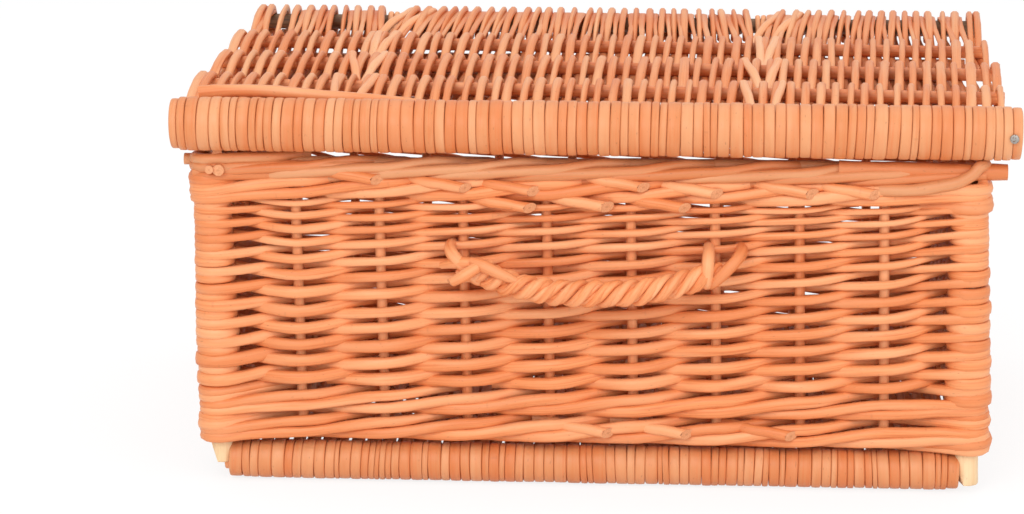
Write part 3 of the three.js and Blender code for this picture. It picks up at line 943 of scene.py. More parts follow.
def wale_round(bundle, foot, rise, radius, out):
    """One round of a wale: every rod passes in front of two uprights and behind the third."""
    chance = bundle.random
    for number in range(len(UPRIGHTS)):
        thick = radius * (1 + chance.uniform(-WALE_UNEVEN, WALE_UNEVEN))
        front = STAKE_RADIUS + thick + out
        behind = -(STAKE_RADIUS + thick)
        level = foot + chance.gauss(0, LEVEL_UNEVEN)
        nodes = []
        for step, offset in enumerate((behind, front, front, behind)):
            at_post = (number + step) % len(UPRIGHTS) in POST_NUMBERS
            climb = (POST_CLIMB if at_post else STAKE_CLIMB)[step]
            nodes.append((number + step, front if at_post else offset, level + climb * rise))
        if nodes[0][1] == front:
            nodes.insert(0, (number - 1, behind, level - 0.1 * rise))
        if nodes[-1][1] == front:
            nodes.append((number + 4, behind, level + 1.1 * rise))
        points = outline_rod(nodes)
        taper = np.interp(np.linspace(0, 1, len(points)), *WALE_TAPER)
        bundle.add(points, thick * taper, power=2.4)


def wale_butt(bundle, place, height, radius):
    """A rod's thick cut end that comes out of the wale to the right."""
    way = POST_TURN + BODY_WIDTH / 2 + place
    nodes = [(way - 36, -2.0, height + 4.0), (way - 14, STAKE_RADIUS + radius + 2.2, height + 1.6),
             (way, STAKE_RADIUS + radius + 4.4, height)]
    points = [on_outline(*point) for point in woven(nodes, 6)]
    bundle.add(points, radius, cut=(False, True), slant=1.1)


def wale(name, seed, foot, rounds, butts, radius):
    """All rods of a wale round the basket, with the butts on its front."""
    bundle = RodBundle(name, seed)
    for level, rise, out in rounds:
        wale_round(bundle, foot + level, rise, radius, out)
    for place, level in butts:
        wale_butt(bundle, place, foot + level, radius * BUTT_SHARE)
    return bundle


def foot_rods(bundle, wall, radius):
    """Two rods along an end wall, one inside its foot and one below it at the edge of the base."""
    half = wall["length"] / 2 - POST_RADIUS - radius
    inner = (-STAKE_RADIUS - 3 * radius - 0.2, radius + 0.3, radius)
    lower = (-0.65 * radius, -1.75 * radius, 1.3 * radius)
    for offset, height, thick in (inner, lower):
        points = []
        for x in np.linspace(-half, half, 50):
            points.append((x, offset, WALL_FOOT + height + 0.3 * math.sin(x / 19)))
        bundle.add(in_wall(wall, points), thick, cut=(True, True))


class BASKET_OT_wales(bpy.types.Operator):
    """Thick wales round the foot and the top of the walls, with their cut butts"""

    bl_idname = "basket.wales"
    bl_label = "Wales"

    def execute(self, context):
        sizes = context.scene.basket_sizes
        radius = sizes.wale_rod / MM
        bottom = wale("wale_bottom", 410, WALL_FOOT, BOTTOM_ROUNDS, BOTTOM_BUTTS, radius)
        for wall in WALLS[1::2]:
            foot_rods(bottom, wall, radius)
        hand_over(bottom.make("buff"), "basket", "buff_willow")
        foot = WALL_FOOT + sizes.rand_top / MM
        top = wale("wale_top", 411, foot, TOP_ROUNDS, TOP_BUTTS, radius)
        hand_over(top.make("buff"), "basket", "buff_willow")
        return {"FINISHED"}


# How far the crest of the front and back borders lies below the top of their solids
CREST_DIP = 1.6
# How far the sweeping rods of a border may run past the posts' middles
BORDER_PAST = 8


def border_rods(bundle, wall, radius):
    """Rods of a border: long cut sticks inside and rods that sweep up and over them."""
    low, high = extent("border_" + wall["name"])
    reach = (high - low)[0 if is_long(wall) else 1] / 2
    floor = low[2] + radius
    crest = high[2] - radius - (CREST_DIP if is_long(wall) else 0.0)
    # Sticks: offset, height, what is cut off at the left and the right, share of the radius
    if is_long(wall):
        sticks = (
            (3.8, floor + 1.6, 84.0, 40.0, 1.05), (3.4, floor + 5.2, 2 * reach - 76.0, -1.6, 1.4),
            (-3.8, floor + 0.6, 64.0, 8.0, 1.0), (-0.8, crest - 1.0, 3.0, 8.0, 1.0))
        riser = (
            (reach - 74, 2.5, floor - 4.4), (reach - 42, 8.2, floor - 3.6),
            (reach - 22, 9.0, floor + 0.2), (reach - 15, 8.8, floor + 4.0),
            (reach - 11, 7.6, floor + 8.4), (reach - 8, 3.6, crest + 2.0))
        bundle.add(smoothed(in_wall(wall, woven(riser, 8)), 6), radius * 1.12)
    else:
        sticks = (
            (3.8, floor + 0.3, 5.0, 5.0, 1.0), (0.2, crest - 0.8, 26.0, 26.0, 1.0),
            (-1.0, floor + 3.4, 2.0, -22.0, 0.75), (-5.6, floor + 3.0, 4.0, -21.0, 1.05))
        if wall["name"] == "right":
            sticks = sticks[:2]
    for offset, height, short_left, short_right, share in sticks:
        bend = bundle.random.uniform(-1.0, 1.0)
        points = []
        for x in np.linspace(short_left - reach, reach - short_right, 60):
            points.append((x, offset + bend * math.sin(2.2 * x / reach),
                           height + 0.5 * math.sin(4.1 * x / reach)))
        bundle.add(in_wall(wall, points), radius * share, cut=(True, True))
    border_sweeps(bundle, wall, radius, floor, crest)


def border_sweeps(bundle, wall, radius, floor, crest):
    """Rods that come up outside a border, cross its crest and go down inside, one from each stake."""
    last = wall["stakes"] + 1
    spacing = wall["length"] / last
    limit = wall["length"] / 2 + BORDER_PAST
    for number in range(-1, last - 1):
        start = stake_place(wall, number + 0.4)
        thick = radius * bundle.random.uniform(0.88, 1.0)
        nodes = [(start, 2.0, floor - 2.5), (start + 0.55 * spacing, 6.2, floor + 0.6),
                 (start + 1.6 * spacing, 6.4, floor + 0.55 * (crest - floor)),
                 (start + 2.3 * spacing, 2.4, crest + 0.1), (start + 2.9 * spacing, -4.6, crest - 1.4),
                 (start + 3.3 * spacing, -5.6, floor)]
        points = [point for point in woven(nodes, 8) if abs(point[0]) < limit]
        if len(points) > 6:
            bundle.add(in_wall(wall, points), thick)


# Rods round a corner: height above the border's foot and way in uprights
CORNER_RODS = ((1.4, 1.5), (5.6, 2.3), (9.4, 1.2))


def corner_bands(bundle, post, foot, radius):
    """Rods that turn round a corner on top of its post and end inside the wall."""
    front = STAKE_RADIUS + radius
    for level, reach in CORNER_RODS:
        nodes = [(post - 0.8, -2.0, foot + level - 0.6), (post, front, foot + level),
                 (post + 0.6 * reach, 0.9 * front, foot + level + 0.8),
                 (post + reach, -2.5, foot + level + 1.6)]
        bundle.add(outline_rod(nodes), radius)


class BASKET_OT_borders(bpy.types.Operator):
    """Borders on top of the walls, whose long rods run past the corners"""

    bl_idname = "basket.borders"
    bl_label = "Borders"

    def execute(self, context):
        radius = context.scene.basket_sizes.border_rod / MM
        for index, wall in enumerate(WALLS):
            bundle = RodBundle("rod_border_" + wall["name"], seed=500 + index)
            border_rods(bundle, wall, radius)
            if is_long(wall):
                corner_bands(bundle, POST_NUMBERS[index], extent("border_front")[0][2], radius)
            # The border's finish holds painted shade from the lid's roll above it
            hand_over(bundle.make("border"), "basket", "buff_willow", "border_" + wall["name"])
        return {"FINISHED"}


def panel_sticks(prefix):
    """Places and radii of a panel's sticks from front to back."""
    sticks = []
    for label in ("front", "1", "2", "3", "back"):
        low, high = extent("%s_%s" % (prefix, label))
        centre = (low + high) / 2
        sticks.append({"node": "%s_%s" % (prefix, label), "y": centre[1], "z": centre[2],
                       "radius": (high[2] - low[2]) / 2, "reach": high[0]})
    return sticks


# Angles round a stick at the points of a wrap
WRAP_ANGLES = np.radians(np.linspace(-8, 352, 34))


def wrap_stick(bundle, stick, count, reach, skin, uneven=0.3, spread=0.35):
    """Wraps side by side round a stick, some wide and some narrow, drawn in at its ends."""
    chance = bundle.random
    widths = np.array([1 + spread * chance.uniform(-1, 1) for _ in range(count)])
    widths *= 2 * reach / widths.sum()
    edge = -reach
    lean = 0.0
    for width in widths:
        x = edge + width / 2
        edge += width
        drop = 1.2 * math.exp((abs(x) - reach) / 4)
        radius = stick["radius"] + 0.1 + skin + chance.uniform(-uneven, 0.0) - drop
        lean += chance.uniform(-0.25, 0.25) - 0.15 * lean
        points = []
        for angle in WRAP_ANGLES:
            points.append((x + lean * math.sin(angle), stick["y"] + radius * math.cos(angle),
                           stick["z"] + radius * math.sin(angle)))
        bundle.add(points, width / 2, skin, across=(1, 0, 0), sides=14, power=5.0, knobs=0.012)


# How late in its way to the next stick towards the front a strand rises and falls
LATE_RISE = 3.6
LATE_FALL = 1.4
# Angles, in degrees, of a strand's way round the back stick and of its end on the front stick
BACK_OVER = (-80, 90)
BACK_UNDER = (-60, -90)
FRONT_OVER = 52
FRONT_UNDER = -42


def round_stick(stick, around, angles):
    """Places in depth and height round a stick, at angles in degrees."""
    return [(stick["y"] + around * math.cos(angle), stick["z"] + around * math.sin(angle))
            for angle in np.radians(angles)]


def mat_strand(bundle, sticks, x_at, kind, half, thick, turn_end, ride=0.0, back_share=1.0):
    """One strand of a mat from the back stick to the front stick, over and under the others.

    A strand of kind 0 passes over the even sticks, one of kind 1 over the odd ones.
    """
    last = len(sticks) - 1
    back = sticks[last]
    front = sticks[0]

    def is_over(number):
        return (number + kind) % 2 == 0

    limits = BACK_OVER if is_over(last) else BACK_UNDER
    points = round_stick(back, back["radius"] + thick + 0.2 + ride, np.linspace(*limits, 9))
    stops = [points[-1]]
    for number in range(last - 1, 0, -1):
        stick = sticks[number]
        side = 1 if is_over(number) else -1
        stops.append((stick["y"], stick["z"] + side * (stick["radius"] + thick)))
    end = FRONT_OVER if is_over(0) else FRONT_UNDER
    stops.extend(round_stick(front, front["radius"] + turn_end, [end]))
    for (y0, z0), (y1, z1) in zip(stops, stops[1:]):
        late = LATE_RISE if z1 > z0 else LATE_FALL
        for share in np.linspace(0, 1, 15)[1:]:
            points.append((y0 + (y1 - y0) * share, z0 + (z1 - z0) * eased(share ** late)))
    path = [(x_at(y), y, z) for y, z in points]
    inner = sticks[last - 1]["y"]
    width = half * np.interp([y for y, _ in points], (inner, (inner + back["y"]) / 2), (1.0, back_share))
    bundle.add(path, width, thick, across=(1, 0, 0), sides=8, power=2.2)


# Half thickness of a wedge
WEDGE_THICK = 1.1


def back_wedge(bundle, sticks, x_at, half):
    """Strand pressed flat over the back stick, narrow where it comes out behind the next stick."""
    back = sticks[4]
    inner = sticks[3]
    points = round_stick(back, back["radius"] + WEDGE_THICK + 0.2, np.linspace(-60, 90, 8))
    y0, z0 = points[-1]
    y1 = inner["y"] + 9.0
    z1 = inner["z"] + 1.5
    for share in np.linspace(0, 1, 11)[1:]:
        points.append((y0 + (y1 - y0) * share, z0 + (z1 - z0) * share ** 2))
    width = half * np.interp([y for y, _ in points], (y1, (y0 + y1) / 2, y0), (0.55, 0.7, 1.55))
    path = [(x_at(y), y, z) for y, z in points]
    bundle.add(path, width, WEDGE_THICK, across=(1, 0, 0), sides=8, power=2.6)


def lean_of(chance, x, spread, ys, skew=0.0, swings=(0.0,) * 5):
    """A strand's sideways wander from stick to stick; swings are added at the sticks."""
    drift = [chance.gauss(0, spread) + swing for swing in swings]
    lean = skew + chance.gauss(0, 0.9)
    middle_y = sum(ys) / len(ys)
    reach = ys[-1] - ys[0]
    return lambda y: x + float(np.interp(y, ys, drift)) + lean * (y - middle_y) / reach


# Places of the hinges along the lid, how far to their sides strands give way, and by how much
HINGE_PLACES = (middle("hinge_loop_left")[0], middle("hinge_loop_right")[0])
HINGE_FADE = 90
HINGE_CLEAR = 6.5


def hinge_shift(x, y, sticks):
    """Sideways shift of a lid strand at the back, clear of the hinge loops."""
    share = min(1.0, max(0.0, (y - sticks[3]["y"]) / (sticks[4]["y"] - sticks[3]["y"])))
    shift = 0.0
    for place in HINGE_PLACES:
        fade = max(0.0, 1 - abs(x - place) / HINGE_FADE)
        shift += math.copysign(fade * share * HINGE_CLEAR, x - place)
    return shift


# How far the front stick of the base comes out at the left
BASE_STUB = 4.4
# How far the base's wraps reach past its sticks, and how much shorter its mat is
WRAP_PAST = 2.0
MAT_SHORT = 1.7
# Strands of the base: half thickness, range of their widths, wander from stick to stick
BASE_THICK = 1.6
BASE_WIDTHS = (0.8, 1.15)
BASE_WANDER = 0.3


class BASKET_OT_base(bpy.types.Operator):
    """Base panel: sticks, mat and wraps along the front and back edges"""

    bl_idname = "basket.base"
    bl_label = "Base"

    def execute(self, context):
        sizes = context.scene.basket_sizes
        sticks = panel_sticks("base_stick")
        parts = []
        for index, stick in enumerate(sticks):
            left = -stick["reach"] - (BASE_STUB if index == 0 else 0.0)
            ends = [(x, stick["y"], stick["z"]) for x in (left, stick["reach"])]
            name = stick["node"] + "_rod"
            parts.append(straight_stick(name, *ends, stick["radius"], seed=40 + index, finish="buff"))
        nodes = [stick["node"] for stick in sticks]
        hand_over(joined("base_sticks", parts), "basket", "buff_willow", *nodes)
        wraps = RodBundle("base_wraps", seed=600)
        skin = (sticks[0]["z"] - extent("base_weave")[0][2] - sticks[0]["radius"]) / 2 - 0.1
        reach = sticks[0]["reach"] + WRAP_PAST
        for edge in (sticks[0], sticks[4]):
            wrap_stick(wraps, edge, sizes.base_wraps, reach, skin, spread=0.5)
        hand_over(wraps.make("split"), "basket", "split_willow")
        mat = RodBundle("base_mat", seed=601)
        ys = [stick["y"] for stick in sticks]
        reach -= MAT_SHORT
        pitch = 2 * reach / sizes.base_pairs
        for pair in range(sizes.base_pairs):
            for kind in (0, 1):
                x = -reach + pitch * (pair + 0.25 + 0.5 * kind)
                half = sizes.strand / MM * mat.random.uniform(*BASE_WIDTHS)
                wander = lean_of(mat.random, x, BASE_WANDER, ys)
                mat_strand(mat, sticks, wander, kind, half, BASE_THICK, skin)
        hand_over(mat.make("split"), "basket", "split_willow", "base_weave")
        return {"FINISHED"}


# Left and right edge of the lid's mat at the front and at the back
LID_EDGES = ((-196.0, 191.5), (-189.5, 193.0))
# How far back of their solids the left and the right ends of the lid's sticks lie
LID_SLANT = ((0.0, 0.0), (10.0, -4.0), (6.0, -8.0), (1.0, -9.0), (0.0, 0.0))
# Thickness of the lid's inner sticks as a share of their solids, and how much shorter each stick ends
INNER_SHARE = 1.15
STICK_SHORT = (2.0, 4.0, 4.0, 4.0, 4.0)
# Half thickness of the lid's wraps, and how far they reach past the solid mat
LID_SKIN = 2.2
LID_PAST = 0.8
# Strands of the lid: half thickness, range of their widths, wander, distance from the front stick
LID_THICK = 1.95
LID_WIDTHS = (0.72, 1.2)
LID_WANDER = 0.5
LID_TURN_END = 2.1
# Width of a strand at the left edge of the lid and what it gains towards the right
LEFT_WIDTH = 0.76
RIGHT_GAIN = 0.14
# Lean from stick to stick of the strands in the middle and what it gains towards the right
MIDDLE_SWING = 0.4
SWING_GAIN = 0.9
# Height of the strands above the back stick and their width there, as a share
BACK_RIDE = 1.2
BACK_SHARE = 0.82
# Share of the odd strands that have a wedge at the back
WEDGE_SHARE = 0.85


def slanted(sticks, x):
    """The lid's sticks at the places where a strand at x crosses them."""
    places = []
    for stick, (left, right) in zip(sticks, LID_SLANT):
        share = 0.5 + 0.5 * x / stick["reach"]
        places.append({**stick, "y": stick["y"] + left + (right - left) * share})
    return places


def lid_mat_strands(mat, sticks, sizes):
    """Strands of the lid's mat, with one more at each end and the wedges at the back."""
    ys = [stick["y"] for stick in sticks]
    spaces = 2 * sizes.lid_pairs
    strands = [((number + 0.5) / spaces, number % 2) for number in range(spaces)]
    for place, kind in strands + [(0.001, 1), (0.999, 0)]:
        front_x, back_x = (left + (right - left) * place for left, right in LID_EDGES)
        swing = MIDDLE_SWING + SWING_GAIN * (2 * place - 1)
        swings = [swing * (1 if (number + kind) % 2 == 0 else -1) for number in range(5)]
        wander = lean_of(mat.random, (front_x + back_x) / 2, LID_WANDER, ys, back_x - front_x, swings)

        def x_at(y, wander=wander, back_x=back_x):
            return wander(y) + hinge_shift(back_x, y, sticks)

        crossed = slanted(sticks, front_x)
        half = sizes.strand / MM * mat.random.uniform(*LID_WIDTHS) * (LEFT_WIDTH + RIGHT_GAIN * place)
        half = max(half, sizes.strand / MM) if place < 0.01 else half
        mat_strand(mat, crossed, x_at, kind, half, LID_THICK, LID_TURN_END, BACK_RIDE, BACK_SHARE)
        if 0.01 < place < 0.99 and kind == 1 and mat.random.random() < WEDGE_SHARE:
            back_wedge(mat, crossed, x_at, half)


# A rod that lies on the left of the lid's mat: left end, length, radii of its ends, points
LOOSE_LEFT = -186
LOOSE_LENGTH = 112
LOOSE_RADII = (3.3, 1.9)
LOOSE_POINTS = 34


def loose_rod(bundle, front):
    """Tapering rod behind the lid's front stick that sinks into the mat towards its right end."""
    points = []
    for share in np.linspace(0, 1, LOOSE_POINTS):
        sink = 6.0 * share ** 3 + 0.8 * (1 - share) ** 12
        points.append((LOOSE_LEFT + LOOSE_LENGTH * share, front["y"] + 14.0 + 1.2 * math.sin(9 * share),
                       front["z"] + 12.8 - sink + 0.4 * math.sin(7 * share)))
    bundle.add(points, np.linspace(*LOOSE_RADII, LOOSE_POINTS))


class BASKET_OT_lid(bpy.types.Operator):
    """Lid panel: sticks, mat of strands and the wraps of the front stick"""

    bl_idname = "basket.lid"
    bl_label = "Lid"

    def execute(self, context):
        sizes = context.scene.basket_sizes
        sticks = panel_sticks("lid_stick")
        parts = []
        for index, stick in enumerate(sticks):
            bare = stick["reach"] - STICK_SHORT[index]
            ends = [(x, slanted(sticks, x)[index]["y"], stick["z"]) for x in (-bare, bare)]
            radius = stick["radius"] * (INNER_SHARE if 0 < index < 4 else 1.0)
            finish = "bark" if index == 4 else "buff"
            part = straight_stick(stick["node"] + "_rod", *ends, radius, seed=60 + index, finish=finish)
            if index == 4:
                part.name = "lid_back_rod"
                hand_over(part, "lid", "bark_willow", stick["node"])
            else:
                parts.append(part)
        nodes = [stick["node"] for stick in sticks[:4]]
        hand_over(joined("lid_sticks", parts), "lid", "buff_willow", *nodes)
        wraps = RodBundle("lid_wraps", seed=700)
        reach = extent("lid_weave")[1][0] + LID_PAST
        wrap_stick(wraps, sticks[0], sizes.lid_wraps, reach, LID_SKIN, 0.5)
        hand_over(wraps.make("split"), "lid", "split_willow")
        mat = RodBundle("lid_mat", seed=701)
        lid_mat_strands(mat, sticks, sizes)
        loose_rod(mat, sticks[0])
        hand_over(mat.make("mat"), "lid", "buff_willow", "lid_weave")
        return {"FINISHED"}


# The nail head beside the middle of its solid
NAIL_SHIFT = (3.2, 0.7, 0.0)


class BASKET_OT_nail(bpy.types.Operator):
    """Domed nail head on the last wrap of the lid's front stick"""

    bl_idname = "basket.nail"
    bl_label = "Nail head"

    def execute(self, context):
        low, high = extent("lid_nail")
        centre = ((low + high) / 2 + NAIL_SHIFT) * MM
        radius = (high[0] - low[0]) / 2 * MM
        bpy.ops.object.select_all(action="DESELECT")
        bpy.ops.mesh.primitive_cylinder_add(vertices=20, radius=radius, depth=(high[1] - low[1]) * MM,
                                            location=centre, rotation=(math.radians(90), 0, 0))
        nail = bpy.context.active_object
        bpy.ops.object.transform_apply(location=True, rotation=True, scale=True)
        bpy.ops.object.mode_set(mode="EDIT")
        bpy.ops.mesh.select_mode(type="FACE")
        bpy.ops.mesh.select_all(action="DESELECT")
        shape = bmesh.from_edit_mesh(nail.data)
        for face in shape.faces:
            face.select = face.normal.y < -0.9
        bmesh.update_edit_mesh(nail.data)
        bpy.ops.mesh.inset(thickness=radius * 0.3, depth=0.25 * MM)
        bpy.ops.mesh.inset(thickness=radius * 0.35, depth=0.15 * MM)
        bpy.ops.object.mode_set(mode="OBJECT")
        bpy.ops.object.shade_smooth_by_angle(angle=math.radians(40))
        nail.name = "nail_head"
        nail.data.materials.append(finish_of("steel"))
        hand_over(nail, "lid", "nail_steel", "lid_nail")
        return {"FINISHED"}


# Half thickness and half width of a hinge loop's strands
LOOP_THICK = 1.35
LOOP_HALF = 1.45


def hinge_loop(bundle, name):
    """Two strands side by side round the top of the back wall and the lid's back stick."""
    low, high = extent("hinge_loop_" + name)
    x = (low[0] + high[0]) / 2
    stick = panel_sticks("lid_stick")[4]
    turn = high[1] - stick["y"] - LOOP_THICK
    inner = low[1] + LOOP_THICK
    outer = BACK_RIGHT[1] + (BACK_RIGHT[1] - inner)
    foot = low[2] + LOOP_THICK
    head = extent("border_back")[1][2] + LOOP_THICK
    corners = [(inner, foot), (inner, (foot + head) / 2), (inner, head)]
    corners += round_stick(stick, turn, np.linspace(150, -15, 9))
    corners += [(outer, (foot + head) / 2), (outer, foot)]
    corners += [((inner + outer) / 2, foot - 0.6), (inner, foot)]
    for side in (-1, 1):
        path = []
        for (y0, z0), (y1, z1) in zip(corners, corners[1:]):
            for share in np.linspace(0, 1, 5)[:-1]:
                y = y0 + (y1 - y0) * share
                z = z0 + (z1 - z0) * share
                twist = 0.5 * math.sin(z / 6.0 + side)
                path.append((x + side * LOOP_THICK + twist, y, z))
        bundle.add(smoothed(path, 2), LOOP_HALF, LOOP_THICK, across=(1, 0, 0), power=2.4)


def smoothed(path, rounds):
    """A path with its corners rounded; its ends stay."""
    path = np.asarray(path, dtype=float)
    for _ in range(rounds):
        inner = (path[:-2] + 2 * path[1:-1] + path[2:]) / 4
        path = np.concatenate((path[:1], inner, path[-1:]))
    return path


# Tails of a hinge: the sticks behind and ahead, the places beside the hinge there, and the half width
HINGE_TAILS = (
    (4, 3, 10.0, -5.0, 2.2), (4, 3, 21.0, 4.0, 2.2), (3, 2, -1.5, -0.5, 2.2), (3, 2, 7.5, 1.5, 2.3),
    (2, 1, -9.0, -1.0, 2.2), (2, 1, 8.0, 2.0, 2.2), (1, 0, -9.5, -5.0, 2.1), (1, 0, 9.5, 4.0, 2.1),
)


def hinge_tails(bundle, place, sticks):
    """Pale strands that run forward from a hinge in pairs and bend over the lid's sticks."""
    for behind, ahead, from_x, to_x, half in HINGE_TAILS:
        rear = sticks[behind]
        fore = sticks[ahead]
        lift = rear["radius"] + 2.6
        nodes = [(rear["y"] + 7.0, rear["z"] - 1.0), (rear["y"] + 1.0, rear["z"] + lift),
                 (0.62 * rear["y"] + 0.38 * fore["y"], rear["z"] + lift - 0.6),
                 (0.22 * rear["y"] + 0.78 * fore["y"], rear["z"] - 0.2),
                 (0.05 * rear["y"] + 0.95 * fore["y"], rear["z"] - 3.5)]
        start = nodes[0][0]
        stop = nodes[-1][0]
        points = []
        for (y0, z0), (y1, z1) in zip(nodes, nodes[1:]):
            for share in np.linspace(0, 1, 8)[:-1]:
                y = y0 + (y1 - y0) * share
                z = z0 + (z1 - z0) * eased(share)
                way = eased((start - y) / (start - stop))
                points.append((place + from_x + (to_x - from_x) * way, y, z))
        half *= bundle.random.uniform(0.9, 1.1)
        bundle.add(smoothed(points, 2), half, 1.9, across=(1, 0, 0), power=2.2)


class BASKET_OT_hinges(bpy.types.Operator):
    """Hinge loops at the back and their tails on the lid"""

    bl_idname = "basket.hinges"
    bl_label = "Hinge loops"

    def execute(self, context):
        for index, name in enumerate(("left", "right")):
            bundle = RodBundle("hinge_tie_" + name, seed=800 + index)
            hinge_loop(bundle, name)
            hand_over(bundle.make("tie"), "basket", "peeled_willow", "hinge_loop_" + name)
        tails = RodBundle("hinge_tails", seed=810)
        sticks = panel_sticks("lid_stick")
        for place in HINGE_PLACES:
            hinge_tails(tails, place, slanted(sticks, place))
        hand_over(tails.make("tie"), "lid", "peeled_willow")
        return {"FINISHED"}


# How far the middle of the handle hangs down and out
ROPE_SAG = 8.5
ROPE_BOW = 10.5
# Lengths of a full twist of the rope's strands and of the fibres in a strand
ROPE_LAY = 24.0
FIBRE_LAY = 60.0
# Distances of the strands from the rope's middle and of the fibres from a strand's middle
STRAND_OUT = 3.4
FIBRE_OUT = 1.3
FIBRE_SIDE = 1.25
# Half thickness of the fibres and of the loose strands
FIBRE_HALF = 1.95
TAIL_HALF = 2.9
# How much shorter than the solid rope its core and its strands are, at the left and the right
CORE_SHORT = (12, 15)
STRAND_SHORT = (9.0, 12.0)
# Length over which the strands draw together, and where it ends before the rope's end
CLOSE_WAY = 16
CLOSE_END = 6


def rope_axis(x, reach, y, z):
    """Middle line of the handle, straight in its ties and hanging out between them."""
    away = min(1.0, abs(x) / reach)
    share = (1 - away ** 2.6) ** 1.4
    return np.array((x, y - ROPE_BOW * share, z - ROPE_SAG * share))


# Loose strands at the rope's left end from the middle of its tie, and whether they are cut short
ROPE_TAILS = (
    (((8, -16, 5.6), (12, -17.4, 4.6), (18, -19.5, 2.2), (26, -21, -1), (32, -19, -4)), False),
    (((-6, -7, 1), (0, -12.5, 3.4), (8, -15, 4.2), (15, -14.5, 3), (20, -11, 0)), False),
    (((17, -13, 4), (11, -18.5, 3), (5, -20.5, -1), (-1, -18.5, -4.6)), True),
)


def rope_strands(bundle, low, high, axis_at):
    """Three twisted strands of three fibres each round a core, from the left end to the right end."""
    core = [axis_at(x) for x in np.linspace(low + CORE_SHORT[0], high - CORE_SHORT[1], 60)]
    bundle.add(core, STRAND_OUT)
    for strand in range(3):
        for fibre in range(3):
            points = []
            for x in np.linspace(low + STRAND_SHORT[0], high - STRAND_SHORT[1], 220):
                close = min(1.0, (high - CLOSE_END - abs(x)) / CLOSE_WAY)
                turn = -2 * math.pi * (x / ROPE_LAY + strand / 3)
                inner = -2 * math.pi * (x / FIBRE_LAY + fibre / 3)
                out = (STRAND_OUT + FIBRE_OUT * math.cos(inner)) * (0.5 + 0.5 * close)
                side = FIBRE_SIDE * math.sin(inner) * (0.5 + 0.5 * close)
                points.append(axis_at(x) + (0.0, out * math.cos(turn) - side * math.sin(turn),
                                            out * math.sin(turn) + side * math.cos(turn)))
            half = FIBRE_HALF * bundle.random.uniform(0.9, 1.1)
            bundle.add(points, half, sides=8, tone=0.2 + 0.22 * strand + 0.07 * fibre)


def rope_tails(bundle, tie):
    """Loose strands at the rope's left end, thinner towards their ends."""
    for places, is_cut in ROPE_TAILS:
        stops = tie + np.array(places)
        numbers = range(len(stops))
        steps = np.linspace(0, len(stops) - 1, 6 * len(stops))
        points = np.stack([np.interp(steps, numbers, stops[:, axis]) for axis in range(3)], axis=1)
        shares = np.linspace(0, 1, len(points))
        end = 0.75 if is_cut else 0.45
        half = TAIL_HALF * np.interp(shares, (0, 0.35, 0.65, 1), (0.6, 1.0, 1.0, end))
        bundle.add(smoothed(points, 8), half, cut=(False, is_cut), slant=0.9 if is_cut else 0.0)


class BASKET_OT_handle(bpy.types.Operator):
    """Twisted rope handle"""

    bl_idname = "basket.handle"
    bl_label = "Handle"

    def execute(self, context):
        low, high = extent("handle_rope")
        tie_low, tie_high = extent("handle_tie_right")
        tie = middle("handle_tie_right")
        y = high[1] - (high[2] - tie[2])
        free = tie[0] - (tie_high - tie_low)[0]
        bundle = RodBundle("rope_handle", seed=900)
        rope_strands(bundle, low[0], high[0], lambda x: rope_axis(x, free, y, tie[2]))
        rope_tails(bundle, middle("handle_tie_left"))
        hand_over(bundle.make("buff"), "handle", "buff_willow", "handle_rope")
        return {"FINISHED"}


# Ties of the handle: seed, name, and lean and shift of each strand; half thickness of a strand
TIES = ((920, "left", ((-1.0, 6.5),)), (921, "right", ((0.05, -10.5), (0.97, -3.5))))
TIE_HALF = 2.9
# Height of a tie's upper half as a share of its solid's
TIE_RISE = 1.5
# Angles round the rope at the points of a tie's strand, whose ends pass each other
TIE_ANGLES = np.radians(np.linspace(20, 378, 60))


def tie_strand(bundle, node, lean, shift, half):
    """One strand round rows of the wall and the rope's end, leaning to one side."""
    low, high = extent(node)
    centre = (low + high) / 2
    points = []
    for angle in TIE_ANGLES:
        out = math.copysign(abs(math.cos(angle)) ** 0.6, math.cos(angle))
        up = math.copysign(abs(math.sin(angle)) ** 0.75, math.sin(angle))
        z = centre[2] + (high[2] - low[2] - 2 * half) / 2 * up * (TIE_RISE if up > 0 else 1.0)
        y = centre[1] + (high[1] - low[1] - 2 * half) / 2 * out
        points.append((centre[0] + shift + lean * (z - centre[2]), y, z))
    bundle.add(points, half, sides=9)


class BASKET_OT_ties(bpy.types.Operator):
    """Strands that tie the handle to the front wall"""

    bl_idname = "basket.ties"
    bl_label = "Handle ties"

    def execute(self, context):
        for seed, name, leans in TIES:
            node = "handle_tie_" + name
            bundle = RodBundle("rope_tie_" + name, seed)
            for lean, shift in leans:
                tie_strand(bundle, node, lean, shift, TIE_HALF)
            hand_over(bundle.make("buff"), "basket", "peeled_willow", node)
        return {"FINISHED"}


# Lights: name, place, size and share of the key light's power
LIGHTS = (("key_light", (-0.5, -1.8, 1.3), 1.2, 1.0), ("side_light", (1.4, -1.7, 0.9), 1.3, 0.55),
          ("top_light", (0.1, 0.1, 1.9), 1.6, 0.42))
LIGHT_AIM = Vector((0, 0, 0.08))
# Floor: size, place, strength of its glow and share of the glow that the camera sees
FLOOR_SIZE = 9.0
FLOOR_PLACE = (0, 1.0, 0)
FLOOR_GLOW = 1.04
GLOW_SHARE = 0.8
# Camera: width of its sensor in millimetres and farthest sight
SENSOR = 36.0
SIGHT = 50


